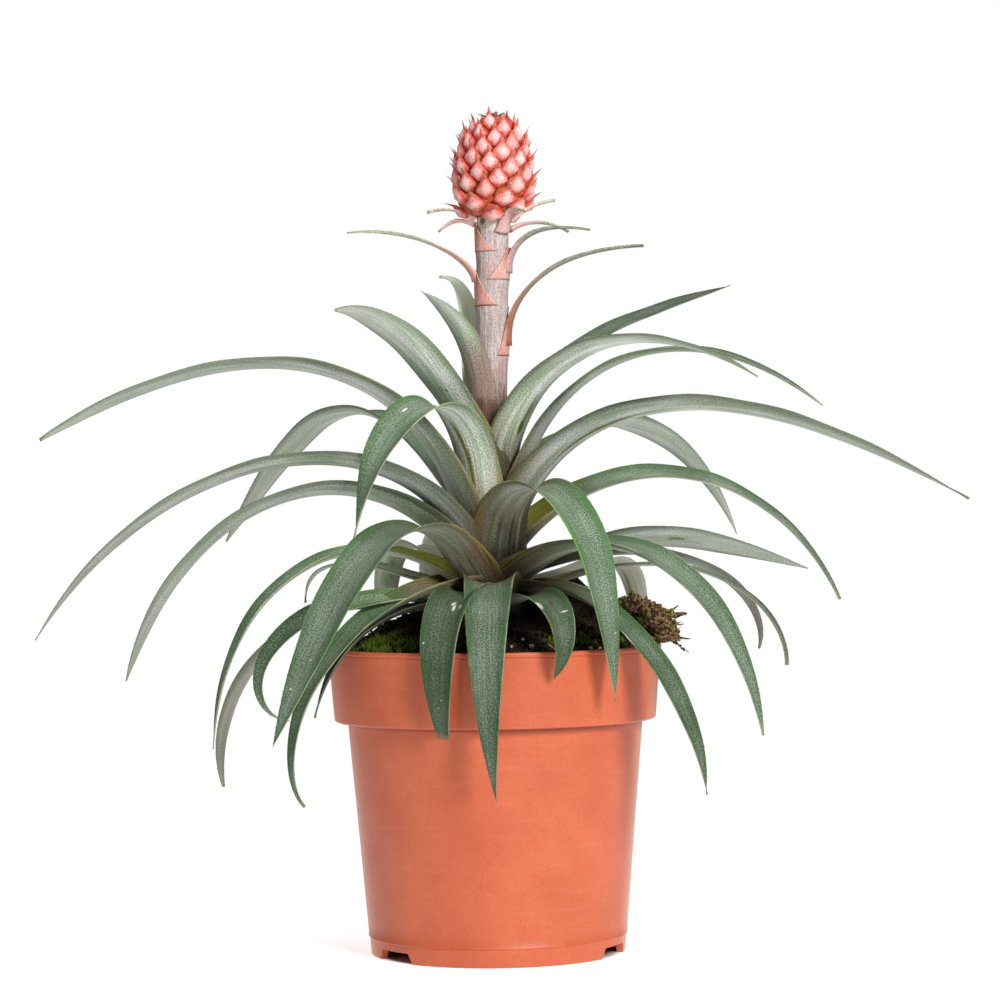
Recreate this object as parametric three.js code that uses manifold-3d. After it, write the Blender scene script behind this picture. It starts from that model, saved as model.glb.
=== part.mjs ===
// Ornamental pineapple plant in fruit, in a round plastic nursery pot.
// Millimetres, +Z up. The origin is on the pot's axis, at the surface that the pot stands on.
// The front of the plant faces -Y. An azimuth is 0 to the front, 90 to the right and -90 to the left.

import * as THREE from 'three';
import { mergeVertices } from 'three/addons/utils/BufferGeometryUtils.js';
import Module from 'manifold-3d';

// Driving dimensions of the pot

const POT_HEIGHT = 109.5;
const RIM_RADIUS = 60;
const RIM_LOWER_RADIUS = 57.6;
const RIM_BAND_HEIGHT = 26.4;
const BODY_RADIUS = 52.8;
const FOOT_RADIUS = 45.5;
const POT_WALL = 1.3;
const FOOT_RING_WIDTH = 2.4;
const POT_FLOOR_UNDERSIDE = 4.2;
const POT_FLOOR_TOP = 5.6;
const SEAM_HEIGHT = 6.7;
const RIM_LIP_HEIGHT = 1.6;
const POT_SIDES = 36;
const SOIL_SIDES = 26;
const STEM_SIDES = 16;
const NOTCH_AZIMUTHS = [-53.5, 65.5, 185.5];
const NOTCH_HEIGHT = 3.8;
const NOTCH_HALF_ANGLE_LOW = 13;
const NOTCH_HALF_ANGLE_HIGH = 10;
const DRAIN_HOLE_RADIUS = 3.5;
const DRAIN_HOLE_DISTANCE = 31;
const DRAIN_HOLE_COUNT = 6;

// Driving dimensions of the soil and the clump of peat on the right of the rim

const SOIL_EDGE_HEIGHT = 107.6;
const SOIL_MOUND = 11;
const SOIL_LUMPS = [
  { x: 28, y: 14, rise: 17, spread: 11 },
  { x: -26, y: 8, rise: 5.5, spread: 13 },
];
const CLUMP = { x: 53.5, y: 9, z: 117.5, reach: 12.5, height: 9.5 };
const CLUMP_ROOTS = 9;

// Driving dimensions of the stem, the flower stalk and the fruit

const STEM_FOOT = 106;
const STALK_START = 190;
const STALK_TOP = 263;
const STALK_LEAN = 0.022;
const STALK_RADIUS = 5.7;
const SHEATH_HEIGHTS = [213, 231, 240.5, 251];
const SHEATH_STEP = 0.45;
const FRUIT_BOTTOM = 263.4;
const FRUIT_TOP = 298.6;
const FRUIT_EYES = 70;
const FRUITLET_WIDTH_LOW = 6.9;
const FRUITLET_WIDTH_HIGH = 4.4;
const TUFT_LEAFLETS = 8;
const GOLDEN_ANGLE = 137.508;

// Driving dimensions of every blade

const BLADE_THICKNESS = 1.0;
const MARGIN_THICKNESS = 0.62;
const BLADE_SEGMENTS = 10;
const SHORT_BLADE_SEGMENTS = 8;
const SHORT_BLADE_LENGTH = 100;
const BRACT_SEGMENTS = 6;
const BLADE_STEPS = 120;
const BLADE_TAPER = 3.2;
const BASE_FLARE = 0.5;
const BASE_REACH = 0.3;
const CLEARANCE = 0.3;

// Each leaf: name without the leading leaf_, azimuth, height of its base on the stem, length, width,
// then the [launch, end] elevations and the [bendAt, bendRate] of the arch, then the extras that it has.
// Of the extras, sweep turns the outer part about the stem, turn the inner part, drift moves the tip
// sideways, roll tilts it, cut shortens its point and taper sets how late the blade narrows.
// The list runs from the youngest leaf at the top to the oldest on the soil.

const LEAVES = [
  leaf('short_left', -38, 181, 70, 11.5, [100, 21], [0.49, 1.5], { sweep: 2, roll: 33, taper: 2.8 }),
  leaf('back_left_upright', -144, 180, 73, 13, [85, 5], [0.84, 2.2], { sweep: 6, roll: -7, taper: 2.9 }),
  leaf('upper_right_back', 125, 181, 127, 10.5, [68, 15], [0.24, 1.5],
    { sweep: 4, roll: 26, taper: 4.5 }),
  leaf('upper_right', 41, 172, 150, 15.5, [84, -24], [0.28, 1.0], { sweep: -3, roll: -10, taper: 4.5 }),
  leaf('upper_left', -44, 174, 96, 17, [70, -5], [0.57, 0.9], { sweep: 10, roll: 27, taper: 3.7 }),
  leaf('back_1', 180, 164, 124, 15, [58, -55], [0.38, 1.4]),
  leaf('upper_right_low', 76, 159, 144, 14, [77, -37], [0.47, 1.3], { sweep: 3, roll: 10, taper: 4.5 }),
  leaf('right_back_drooping', 134, 156, 148, 18, [67, -64], [0.44, 1.0],
    { sweep: -6, roll: -49, taper: 1.6 }),
  leaf('right_long', 57, 150, 201, 18, [71, -27], [0.26, 1.2], { sweep: -1, roll: -35, taper: 2.8 }),
  leaf('left_long_high', -70, 146, 190, 19.5, [76, -26], [0.38, 1.5],
    { sweep: -31, roll: 12, taper: 4.5 }),
  leaf('back_left_broad', -134, 154, 168, 17.5, [46, -43], [0.45, 2.4],
    { sweep: -2, roll: 15, taper: 3.4 }),
  leaf('front_left_arched', -40, 147, 124, 19.5, [93, -77], [0.47, 1.8],
    { sweep: -88, turn: 33, roll: -18, taper: 4.5 }),
  leaf('left_long_mid', -45, 134, 202, 14, [80, -59], [0.33, 0.9],
    { sweep: -3, turn: -29, roll: 48, taper: 2.7 }),
  leaf('back_2', 177, 146, 125, 15, [50, -68], [0.42, 1.3]),
  leaf('front_right_arched', 14, 137, 129, 21.5, [74, -83], [0.33, 2.0],
    { sweep: -10, turn: 48, roll: 5, taper: 3.3 }),
  leaf('left_long_low', -62, 135, 167, 17.5, [56, -70], [0.42, 1.2],
    { sweep: -38, roll: 35, taper: 3.3 }),
  leaf('right_mid', 116, 143, 163, 17, [50, -61], [0.46, 1.0], { sweep: 3, roll: 42, taper: 3 }),
  leaf('back_left_hanging_low', -134, 131, 78, 13, [28, -85], [0.54, 3.2],
    { sweep: -19, roll: 22, taper: 4.5 }),
  leaf('back_3', -173, 137, 130, 15, [44, -70], [0.42, 1.3]),
  leaf('back_right_hanging', 130, 127, 89, 14, [15, -76], [0.65, 3.7],
    { sweep: 27, roll: -5, taper: 4.5 }),
  leaf('back_left_hanging', -156, 132, 86, 12, [41, -92], [0.50, 2.3],
    { sweep: -4, roll: 23, taper: 4.5 }),
  leaf('right_back_pale', 120, 132, 126, 16.5, [25, -17], [0.41, 1.4],
    { sweep: -11, roll: -82, taper: 1.8 }),
  leaf('right_dark', 97, 134, 107, 15.5, [22, -108], [0.77, 0.9], { sweep: 7, roll: -11, taper: 3.4 }),
  leaf('right_front', 58, 131, 134, 21, [41, -79], [0.40, 1.2], { sweep: 18, roll: 14, taper: 2.6 }),
  leaf('front_left_broad', -37, 128, 153, 19.5, [54, -54], [0.29, 1.9],
    { sweep: 5, roll: -13, taper: 3.3 }),
  leaf('left_folded', -76, 129, 137, 16.5, [42, -86], [0.42, 1.2], { sweep: 2, roll: -14, taper: 2 }),
  leaf('front_centre', -2, 124, 115, 20, [41, -101], [0.34, 1.2],
    { sweep: -6, drift: 3, roll: 3, taper: 1.8 }),
  leaf('left_thin_back', -117, 127, 77, 12, [17, -89], [0.84, 1.7], { roll: -3, taper: 3.3 }),
  leaf('right_blunt', 84, 126, 114, 8, [27, -91], [0.70, 1.0],
    { sweep: -5, roll: -1, cut: 0.93, taper: 4.5 }),
  leaf('back_4', 176, 126, 125, 13, [32, -84], [0.45, 1.2]),
  leaf('front_left_low', -59, 127, 117, 19.5, [28, -137], [0.58, 0.6],
    { sweep: -24, roll: -14, taper: 1.8 }),
  leaf('front_right_low', 50, 127, 120, 12.5, [34, -86], [0.32, 0.7], { sweep: -2, roll: 7, taper: 4.5 }),
  leaf('left_grey', -100, 122, 133, 12, [18, -100], [0.57, 1.0], { sweep: -6, roll: 20, taper: 4.5 }),
  leaf('left_hooked', -67, 124, 110, 13.5, [9, -174], [0.81, 1.2], { sweep: -12, roll: -73, taper: 1.6 }),
  leaf('front_left_cut', -16, 123, 94, 18, [20, -107], [0.53, 1.7],
    { sweep: -5, roll: 10, cut: 0.88, taper: 2.7 }),
  leaf('front_right_short', 18, 123, 82, 14.5, [10, -131], [0.74, 2.1],
    { sweep: 13, roll: 21, taper: 3.3 }),
  leaf('left_thin_low', -57, 120, 81, 13, [19, -74], [0.50, 1.1], { sweep: -2, roll: 9 }),
  leaf('left_soil', -82, 119, 45, 9, [18, -8], [0.50, 1.2]),
];

// The small leaves and bracts on the flower stalk, from the fruit down

const BRACTS = [
  leaf('right_tiny', 78, 261, 18, 3.4, [44, 6], [0.5, 1.2]),
  leaf('left_under_fruit', -84, 261.5, 18, 4.2, [44, -14], [0.42, 1.4]),
  leaf('front', 40, 257, 16, 5.4, [76, -25], [0.55, 1.6]),
  leaf('left_curled', -96, 260, 14, 4.2, [34, -40], [0.42, 1.4]),
  leaf('right_back', 112, 258, 24, 4.0, [38, -26], [0.39, 1.0]),
  leaf('back', 178, 252, 20, 5.0, [60, 5], [0.4, 1.2]),
  leaf('right_upper', 80, 243, 38, 5.6, [92, -9], [0.33, 1.4]),
  leaf('left_long', -92, 240, 52, 5.6, [90, -7], [0.18, 0.7]),
  leaf('right_lower', 84, 217, 67, 6.2, [94, 2], [0.33, 1.2]),
];

// Base colours of the parts

const COLOURS = {
  pot: 0xe87651,
  soil: 0x2c2018,
  clump: 0x4a3423,
  stem: 0xcfc4bd,
  leaf: 0x66806b,
  bract: 0x8c9a86,
  fruit: 0xea8b84,
  crown: 0x6f6a55,
};

const wasm = await Module();
wasm.setup();

// One line of the leaf lists, as an object with named values
function leaf(name, azimuth, height, length, width, [launch, end], [bendAt, bendRate], extra = {}) {
  const turns = { sweep: 0, turn: 0, drift: 0, roll: 0, cut: 1, taper: BLADE_TAPER, ...extra };
  return { name, azimuth, height, length, width, launch, end, bendAt, bendRate, ...turns };
}

// Piecewise linear value through [position, value] pairs
function ramp(pairs, at) {
  let index = 1;
  while (index < pairs.length - 1 && at > pairs[index][0]) index += 1;
  const [x0, y0] = pairs[index - 1];
  const [x1, y1] = pairs[index];
  const share = THREE.MathUtils.clamp((at - x0) / (x1 - x0), 0, 1);
  return THREE.MathUtils.lerp(y0, y1, share);
}

function randomSource(seed) {
  let state = seed;
  return () => {
    state = (state * 1664525 + 1013904223) % 4294967296;
    return state / 4294967296;
  };
}

// Solids

// A closed body from its points and triangles, turned outward if it was inside out
function solidFromMesh(points, triangles) {
  let volume = 0;
  for (const [a, b, c] of triangles) {
    volume += points[a].dot(new THREE.Vector3().crossVectors(points[b], points[c]));
  }
  const outward = volume > 0 ? triangles : triangles.map(([a, b, c]) => [a, c, b]);
  const vertProperties = new Float32Array(points.flatMap((point) => point.toArray()));
  const triVerts = new Uint32Array(outward.flat());
  return new wasm.Manifold(new wasm.Mesh({ numProp: 3, vertProperties, triVerts }));
}

// A closed body from a geometry whose shared corners are doubled
function solidFromGeometry(geometry) {
  const bare = new THREE.BufferGeometry();
  bare.setAttribute('position', geometry.getAttribute('position'));
  bare.setIndex(geometry.getIndex());
  const merged = mergeVertices(bare, 1e-4);
  const position = merged.getAttribute('position');
  const index = merged.getIndex().array;
  const points = [];
  for (let i = 0; i < position.count; i += 1) {
    points.push(new THREE.Vector3().fromBufferAttribute(position, i));
  }
  const triangles = [];
  for (let i = 0; i < index.length; i += 3) {
    const [a, b, c] = [index[i], index[i + 1], index[i + 2]];
    if (a !== b && b !== c && c !== a) triangles.push([a, b, c]);
  }
  return solidFromMesh(points, triangles);
}

// A turned body from [radius, height] pairs that start and end on the axis
function turned(profile, sides) {
  const outline = profile.map(([radius, height]) => new THREE.Vector2(radius, height));
  return new THREE.LatheGeometry(outline, sides).rotateX(Math.PI / 2);
}

function largestBody(solid) {
  const bodies = solid.decompose();
  bodies.sort((a, b) => b.volume() - a.volume());
  return bodies[0];
}

function geometryFromSolid(solid, detail) {
  const mesh = largestBody(solid.simplify(detail)).getMesh();
  const geometry = new THREE.BufferGeometry();
  geometry.setAttribute('position', new THREE.Float32BufferAttribute(mesh.vertProperties, 3));
  geometry.setIndex(new THREE.Uint32BufferAttribute(mesh.triVerts, 1));
  geometry.computeVertexNormals();
  return geometry;
}

const plant = new THREE.Group();

function addPart(name, solid, colour, roughness, detail = 0.03) {
  const material = new THREE.MeshStandardMaterial({ color: colour, roughness, metalness: 0 });
  const mesh = new THREE.Mesh(geometryFromSolid(solid, detail), material);
  mesh.name = name;
  plant.add(mesh);
}

// Directions

function heading(azimuthDegrees) {
  const angle = THREE.MathUtils.degToRad(azimuthDegrees);
  return new THREE.Vector3(Math.sin(angle), -Math.cos(angle), 0);
}

// Pot

function potInnerRadius(height) {
  return ramp([
    [POT_FLOOR_TOP, FOOT_RADIUS - POT_WALL + 0.5],
    [POT_HEIGHT - RIM_BAND_HEIGHT - 1.5, BODY_RADIUS - POT_WALL],
    [POT_HEIGHT - RIM_BAND_HEIGHT + 1.2, RIM_LOWER_RADIUS - POT_WALL],
    [POT_HEIGHT, RIM_RADIUS - POT_WALL - 0.3],
  ], height);
}

function potShell(clearance = 0) {
  const rimFoot = POT_HEIGHT - RIM_BAND_HEIGHT;
  const footInner = FOOT_RADIUS - FOOT_RING_WIDTH;
  const rimTop = POT_HEIGHT + clearance;
  const rimRadius = RIM_RADIUS + clearance;
  return turned([
    [0, POT_FLOOR_UNDERSIDE],
    [footInner, POT_FLOOR_UNDERSIDE],
    [footInner, 0],
    [FOOT_RADIUS + clearance, 0],
    [FOOT_RADIUS + 0.55 + clearance, SEAM_HEIGHT - 0.4],
    [FOOT_RADIUS + 0.85 + clearance, SEAM_HEIGHT + 0.3],
    [BODY_RADIUS + clearance, rimFoot],
    [RIM_LOWER_RADIUS - 0.5 + clearance, rimFoot - clearance],
    [RIM_LOWER_RADIUS + clearance, rimFoot + 0.8],
    [rimRadius - 0.5, POT_HEIGHT - RIM_LIP_HEIGHT - 0.5],
    [rimRadius, POT_HEIGHT - RIM_LIP_HEIGHT],
    [rimRadius, rimTop - 0.4],
    [rimRadius - 0.5, rimTop],
    [potInnerRadius(POT_HEIGHT) - clearance, rimTop],
    [potInnerRadius(rimFoot + 1.2) - clearance, rimFoot + 1.2],
    [potInnerRadius(rimFoot - 1.5) - clearance, rimFoot - 1.5],
    [potInnerRadius(POT_FLOOR_TOP) - clearance, POT_FLOOR_TOP + clearance],
    [0, POT_FLOOR_TOP + clearance],
  ], POT_SIDES);
}

// A wedge that opens the foot ring, wider at the floor than at its top
function footNotch(azimuth) {
  const inner = FOOT_RADIUS - FOOT_RING_WIDTH - 2;
  const outer = FOOT_RADIUS + 2;
  const points = [];
  for (const [z, half] of [[-1, NOTCH_HALF_ANGLE_LOW], [NOTCH_HEIGHT, NOTCH_HALF_ANGLE_HIGH]]) {
    for (const side of [-1, 1]) {
      const way = heading(azimuth + side * half);
      points.push(way.clone().multiplyScalar(inner).setZ(z));
      points.push(way.clone().multiplyScalar(outer).setZ(z));
    }
  }
  const triangles = [
    [0, 1, 3], [0, 3, 2], [4, 7, 5], [4, 6, 7], [0, 5, 1], [0, 4, 5],
    [2, 3, 7], [2, 7, 6], [1, 5, 7], [1, 7, 3], [0, 2, 6], [0, 6, 4],
  ];
  return solidFromMesh(points, triangles);
}

function drainHole(index) {
  const hole = new THREE.CylinderGeometry(DRAIN_HOLE_RADIUS, DRAIN_HOLE_RADIUS, 6, 10);
  hole.rotateX(Math.PI / 2);
  const way = heading(index * 360 / DRAIN_HOLE_COUNT + 30).multiplyScalar(DRAIN_HOLE_DISTANCE);
  hole.translate(way.x, way.y, (POT_FLOOR_TOP + POT_FLOOR_UNDERSIDE) / 2);
  return solidFromGeometry(hole);
}

function potSolid() {
  let pot = solidFromGeometry(potShell());
  for (const azimuth of NOTCH_AZIMUTHS) {
    pot = pot.subtract(footNotch(azimuth));
  }
  for (let index = 0; index < DRAIN_HOLE_COUNT; index += 1) {
    pot = pot.subtract(drainHole(index));
  }
  return pot;
}

// Stem inside the rosette, with the flower stalk that it grows into

function stemRadius(height) {
  return ramp([[112, 9], [130, 9.6], [160, 7.8], [185, 6.2], [200, STALK_RADIUS]], height);
}

function axisOffset(height) {
  return Math.max(0, height - STALK_START) * STALK_LEAN;
}

function leanGeometry(geometry) {
  const position = geometry.getAttribute('position');
  for (let i = 0; i < position.count; i += 1) {
    position.setX(i, position.getX(i) + axisOffset(position.getZ(i)));
  }
  return geometry;
}

function stemSolid(clearance = 0) {
  const foot = STEM_FOOT - clearance;
  const profile = [[0, foot], [stemRadius(STEM_FOOT) - 1 + clearance, foot]];
  for (const height of [112, 130, 145, 160, 172, 185, 200]) {
    profile.push([stemRadius(height) + clearance, height]);
  }
  for (const height of SHEATH_HEIGHTS) {
    profile.push([STALK_RADIUS + SHEATH_STEP + clearance, height]);
    profile.push([STALK_RADIUS + clearance, height + SHEATH_STEP]);
  }
  profile.push([STALK_RADIUS + clearance, STALK_TOP + clearance]);
  profile.push([0, STALK_TOP + clearance]);
  return solidFromGeometry(leanGeometry(turned(profile, STEM_SIDES)));
}

// Soil

function soilHeight(x, y) {
  const radius = Math.hypot(x, y);
  const mound = SOIL_EDGE_HEIGHT + SOIL_MOUND * (1 - (radius / 58) ** 2);
  let lumps = 0;
  for (const lump of SOIL_LUMPS) {
    const away = Math.hypot(x - lump.x, y - lump.y) / lump.spread;
    lumps += lump.rise * Math.exp(-0.5 * away * away);
  }
  const rough = 0.9 * Math.sin(x * 0.31 + 1.3) * Math.cos(y * 0.27) + 0.5 * Math.sin(x * 0.7 - y * 0.6);
  const edge = THREE.MathUtils.clamp((57 - radius) / 12, 0, 1);
  return mound + (lumps + rough) * edge;
}

function soilSolid(clearance = 0) {
  const gap = CLEARANCE - clearance;
  const rimFoot = POT_HEIGHT - RIM_BAND_HEIGHT;
  const holeRadius = stemRadius(112) + gap;
  const holeFoot = STEM_FOOT - CLEARANCE;
  const top = SOIL_EDGE_HEIGHT;
  const wall = [POT_FLOOR_TOP + gap, rimFoot - 1.5, rimFoot + 1.2, top];
  const profile = [[0, wall[0]]];
  for (const height of wall) {
    profile.push([potInnerRadius(height) - gap - 0.2, height]);
  }
  for (const radius of [53, 47, 40, 33, 26, 20, 14.5]) {
    profile.push([radius, top]);
  }
  profile.push([holeRadius, top]);
  profile.push([holeRadius, holeFoot]);
  profile.push([0, holeFoot]);
  const geometry = turned(profile, SOIL_SIDES);
  const position = geometry.getAttribute('position');
  for (let i = 0; i < position.count; i += 1) {
    const x = position.getX(i);
    const y = position.getY(i);
    const onTop = Math.abs(position.getZ(i) - top) < 1e-3;
    if (onTop) position.setZ(i, soilHeight(x, y) + clearance);
  }
  return solidFromGeometry(geometry);
}

// Ragged clump of peat and roots that lies on the soil and over the rim

function clumpSolid(soilWithGap, potWithGap) {
  const body = new THREE.IcosahedronGeometry(1, 2);
  const position = body.getAttribute('position');
  for (let i = 0; i < position.count; i += 1) {
    const way = new THREE.Vector3().fromBufferAttribute(position, i).normalize();
    const lumpy = 1 + 0.16 * Math.sin(5 * way.x + 2 * way.z) + 0.12 * Math.cos(7 * way.y - 3 * way.x);
    way.multiplyScalar(lumpy);
    position.setXYZ(
      i,
      CLUMP.x + way.x * CLUMP.reach,
      CLUMP.y + way.y * CLUMP.reach,
      CLUMP.z + way.z * CLUMP.height,
    );
  }
  let clump = solidFromGeometry(body);
  const random = randomSource(11);
  for (let index = 0; index < CLUMP_ROOTS; index += 1) {
    const azimuth = 35 + 110 * index / (CLUMP_ROOTS - 1);
    const rise = -0.25 + 0.75 * random();
    const length = CLUMP.reach + 1.5 + 2.5 * random();
    const spike = new THREE.ConeGeometry(1.5, length, 4);
    const way = heading(azimuth).setZ(rise).normalize();
    spike.translate(0, length / 2, 0);
    spike.applyQuaternion(new THREE.Quaternion().setFromUnitVectors(new THREE.Vector3(0, 1, 0), way));
    spike.translate(CLUMP.x, CLUMP.y, CLUMP.z);
    clump = clump.add(solidFromGeometry(spike));
  }
  return clump.subtract(soilWithGap).subtract(potWithGap);
}

// Blades

// Elevation of a blade along its length: the arch bends most near bendAt
function elevation(shape, along) {
  const t = THREE.MathUtils.clamp(along, 1e-4, 1 - 1e-4);
  const odds = (1 - t) * shape.bendAt / (t * (1 - shape.bendAt));
  const bent = 1 / (1 + odds ** shape.bendRate);
  return THREE.MathUtils.lerp(shape.launch, shape.end, bent);
}

// Points and axes along the blade's midrib
function midrib(shape, baseRadius) {
  const frames = [];
  const point = heading(shape.azimuth).multiplyScalar(baseRadius);
  point.x += axisOffset(shape.height);
  point.z = shape.height;
  let before = null;
  for (let step = 0; step <= BLADE_STEPS; step += 1) {
    const along = step / BLADE_STEPS;
    const lift = THREE.MathUtils.degToRad(elevation(shape, along));
    const azimuth = shape.azimuth + shape.sweep * along ** 2 + shape.turn * along * (2 - along);
    const way = heading(azimuth).multiplyScalar(Math.cos(lift)).setZ(Math.sin(lift));
    if (before) {
      point.addScaledVector(before.clone().add(way), shape.length / BLADE_STEPS / 2);
    }
    before = way;
    const level = new THREE.Vector3(-heading(azimuth).y, heading(azimuth).x, 0);
    const centre = point.clone().addScaledVector(level, shape.drift * along ** 4);
    const turn = THREE.MathUtils.degToRad(shape.roll * along);
    const side = level.applyAxisAngle(way, turn);
    frames.push({ along, point: centre, side, up: new THREE.Vector3().crossVectors(way, side) });
  }
  return frames;
}

function bladeWidth(shape, along) {
  const flare = 1 + BASE_FLARE * Math.max(0, 1 - along / BASE_REACH) ** 2;
  return shape.width * flare * (1 - (along * shape.cut) ** shape.taper) + MARGIN_THICKNESS;
}

// Half angle of the blade's channel, which clasps the stem at its base
function channelAngle(along) {
  return ramp([[0, 1.25], [0.12, 0.9], [0.35, 0.6], [0.7, 0.5], [1, 0.6]], along);
}

// A channelled blade with the same split on both faces; clearance makes it fatter all round
function bladeSolid(shape, baseRadius, clearance, segments, columns) {
  const frames = midrib(shape, baseRadius);
  const every = BLADE_STEPS / segments;
  const points = [];
  for (let segment = 0; segment <= segments; segment += 1) {
    const { along, point, side, up } = frames[segment * every];
    const half = bladeWidth(shape, along) / 2 + clearance;
    const angle = channelAngle(along);
    for (const face of [1, -1]) {
      for (let column = 0; column < columns; column += 1) {
        const across = -1 + 2 * column / (columns - 1);
        const bend = across * angle;
        const thin = Math.abs(across) ** 2;
        const thick = THREE.MathUtils.lerp(BLADE_THICKNESS, MARGIN_THICKNESS, Math.max(thin, along ** 4));
        const offset = face * (thick / 2 + clearance);
        const x = half * Math.sin(bend) / angle - Math.sin(bend) * offset;
        const z = half * (1 - Math.cos(bend)) / angle + Math.cos(bend) * offset;
        points.push(point.clone().addScaledVector(side, x).addScaledVector(up, z));
      }
    }
  }
  const ring = 2 * columns;
  const triangles = [];
  const quad = (a, b, c, d) => triangles.push([a, b, c], [a, c, d]);
  for (let segment = 0; segment < segments; segment += 1) {
    const here = segment * ring;
    const next = here + ring;
    for (let column = 0; column < columns - 1; column += 1) {
      quad(here + column, here + column + 1, next + column + 1, next + column);
      const under = here + columns + column;
      const nextUnder = next + columns + column;
      triangles.push([under, nextUnder + 1, under + 1], [under, nextUnder, nextUnder + 1]);
    }
    quad(here, next, next + columns, here + columns);
    quad(here + columns - 1, here + ring - 1, next + ring - 1, next + columns - 1);
  }
  const last = segments * ring;
  for (let column = 0; column < columns - 1; column += 1) {
    quad(column, column + columns, column + columns + 1, column + 1);
    quad(last + column, last + column + 1, last + column + columns + 1, last + column + columns);
  }
  return solidFromMesh(points, triangles);
}

// Fruit

function fruitRadius(share) {
  return ramp([
    [0, 7.6], [0.08, 9.8], [0.2, 11.3], [0.38, 11.9], [0.58, 11.3], [0.76, 9.6], [0.9, 7.2], [1, 4.6],
  ], share);
}

// Where each fruitlet sits: a spiral, with smaller and closer fruitlets towards the top
function fruitletPlaces() {
  const height = FRUIT_TOP - FRUIT_BOTTOM;
  const size = (share) => THREE.MathUtils.lerp(FRUITLET_WIDTH_LOW, FRUITLET_WIDTH_HIGH, share ** 1.4);
  const counts = [0];
  const slices = 200;
  for (let slice = 1; slice <= slices; slice += 1) {
    const share = (slice - 0.5) / slices;
    counts.push(counts[slice - 1] + fruitRadius(share) / size(share) ** 2);
  }
  const places = [];
  let slice = 1;
  for (let index = 0; index < FRUIT_EYES; index += 1) {
    const wanted = counts[slices] * (index + 0.6) / FRUIT_EYES;
    while (counts[slice] < wanted) slice += 1;
    const share = (slice - 0.5) / slices;
    places.push({
      azimuth: index * GOLDEN_ANGLE,
      radius: fruitRadius(share),
      slope: (fruitRadius(share + 0.01) - fruitRadius(share - 0.01)) / (0.02 * height),
      z: FRUIT_BOTTOM + share * height,
      size: size(share),
    });
  }
  return places;
}

// One fruitlet: a bulged six-sided scale whose upper corner is drawn out to a spine
function fruitletSolid({ azimuth, radius, slope, z, size }, clearance) {
  const out = heading(azimuth);
  const normal = out.clone().setZ(-slope).normalize();
  const side = new THREE.Vector3(-out.y, out.x, 0);
  const up = new THREE.Vector3().crossVectors(normal, side).multiplyScalar(-1);
  if (up.z < 0) up.multiplyScalar(-1);
  const centre = out.clone().multiplyScalar(radius).setZ(z);
  centre.x += axisOffset(z);
  const place = (across, along, lift) => centre.clone()
    .addScaledVector(side, across * (size / 2 + clearance))
    .addScaledVector(up, along * (size / 2 + clearance))
    .addScaledVector(normal, lift + clearance);
  const points = [];
  for (const [scale, lift] of [[1.0, -1.3], [0.86, 0.9]]) {
    for (let corner = 0; corner < 6; corner += 1) {
      const angle = Math.PI / 2 + corner * Math.PI / 3;
      points.push(place(scale * Math.cos(angle), scale * 1.08 * Math.sin(angle), lift));
    }
  }
  points[6] = place(0, 1.25, 2.7);
  points.push(place(0, -0.1, 2.0));
  const triangles = [[0, 1, 2], [0, 2, 3], [0, 3, 4], [0, 4, 5]];
  for (let corner = 0; corner < 6; corner += 1) {
    const next = (corner + 1) % 6;
    triangles.push([corner, corner + 6, next + 6], [corner, next + 6, next], [corner + 6, 12, next + 6]);
  }
  return solidFromMesh(points, triangles);
}

function fruitSolid(clearance = 0) {
  const foot = FRUIT_BOTTOM - clearance;
  const profile = [[0, foot], [fruitRadius(0) + clearance, foot]];
  for (const share of [0.08, 0.2, 0.38, 0.58, 0.76, 0.9]) {
    profile.push([fruitRadius(share) + clearance, FRUIT_BOTTOM + share * (FRUIT_TOP - FRUIT_BOTTOM)]);
  }
  profile.push([fruitRadius(1) + clearance, FRUIT_TOP + clearance]);
  profile.push([0, FRUIT_TOP + clearance]);
  let fruit = solidFromGeometry(leanGeometry(turned(profile, 14)));
  for (const place of fruitletPlaces()) {
    fruit = fruit.add(fruitletSolid(place, clearance));
  }
  return fruit;
}

// A ragged solid cut clear of another on every side, by copies of the other moved each way
function cutClear(solid, other) {
  let rest = solid;
  for (const axis of [0, 1, 2]) {
    for (const side of [-CLEARANCE, CLEARANCE]) {
      const shift = [0, 0, 0];
      shift[axis] = side;
      rest = rest.subtract(other.translate(shift));
    }
  }
  return rest;
}

// The tuft of tiny leaflets on the fruit
function tuftSolid(fruit) {
  const foot = FRUIT_TOP + CLEARANCE;
  const cushion = [[0, foot], [3.6, foot], [2.2, foot + 1.6], [0, foot + 2]];
  let tuft = solidFromGeometry(leanGeometry(turned(cushion, 8)));
  for (let index = 0; index < TUFT_LEAFLETS; index += 1) {
    const inner = index >= 5;
    const azimuth = index * GOLDEN_ANGLE;
    const rise = inner ? [70, 50] : [38, 8];
    const shape = leaf('leaflet', azimuth, foot + 0.5, inner ? 3.4 : 4.6, 2.2, rise, [0.5, 1.2]);
    tuft = tuft.add(bladeSolid(shape, inner ? 0.8 : 2, 0, 3, 3));
  }
  return cutClear(tuft, fruit);
}

// Assembly

const soilWithGap = soilSolid(CLEARANCE);
const potWithGap = solidFromGeometry(potShell(CLEARANCE));
const fruitWithGap = fruitSolid(CLEARANCE);
const fruit = fruitSolid().subtract(stemSolid(CLEARANCE));
const clump = clumpSolid(soilWithGap, potWithGap);

addPart('pot', potSolid(), COLOURS.pot, 0.45);
addPart('soil', soilSolid(), COLOURS.soil, 0.95);
addPart('peat_clump', clump, COLOURS.clump, 0.95);
addPart('stem_and_stalk', stemSolid(), COLOURS.stem, 0.7);
addPart('fruit', fruit, COLOURS.fruit, 0.5, 0.12);
addPart('fruit_tuft', tuftSolid(fruit), COLOURS.crown, 0.7, 0.12);

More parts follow.
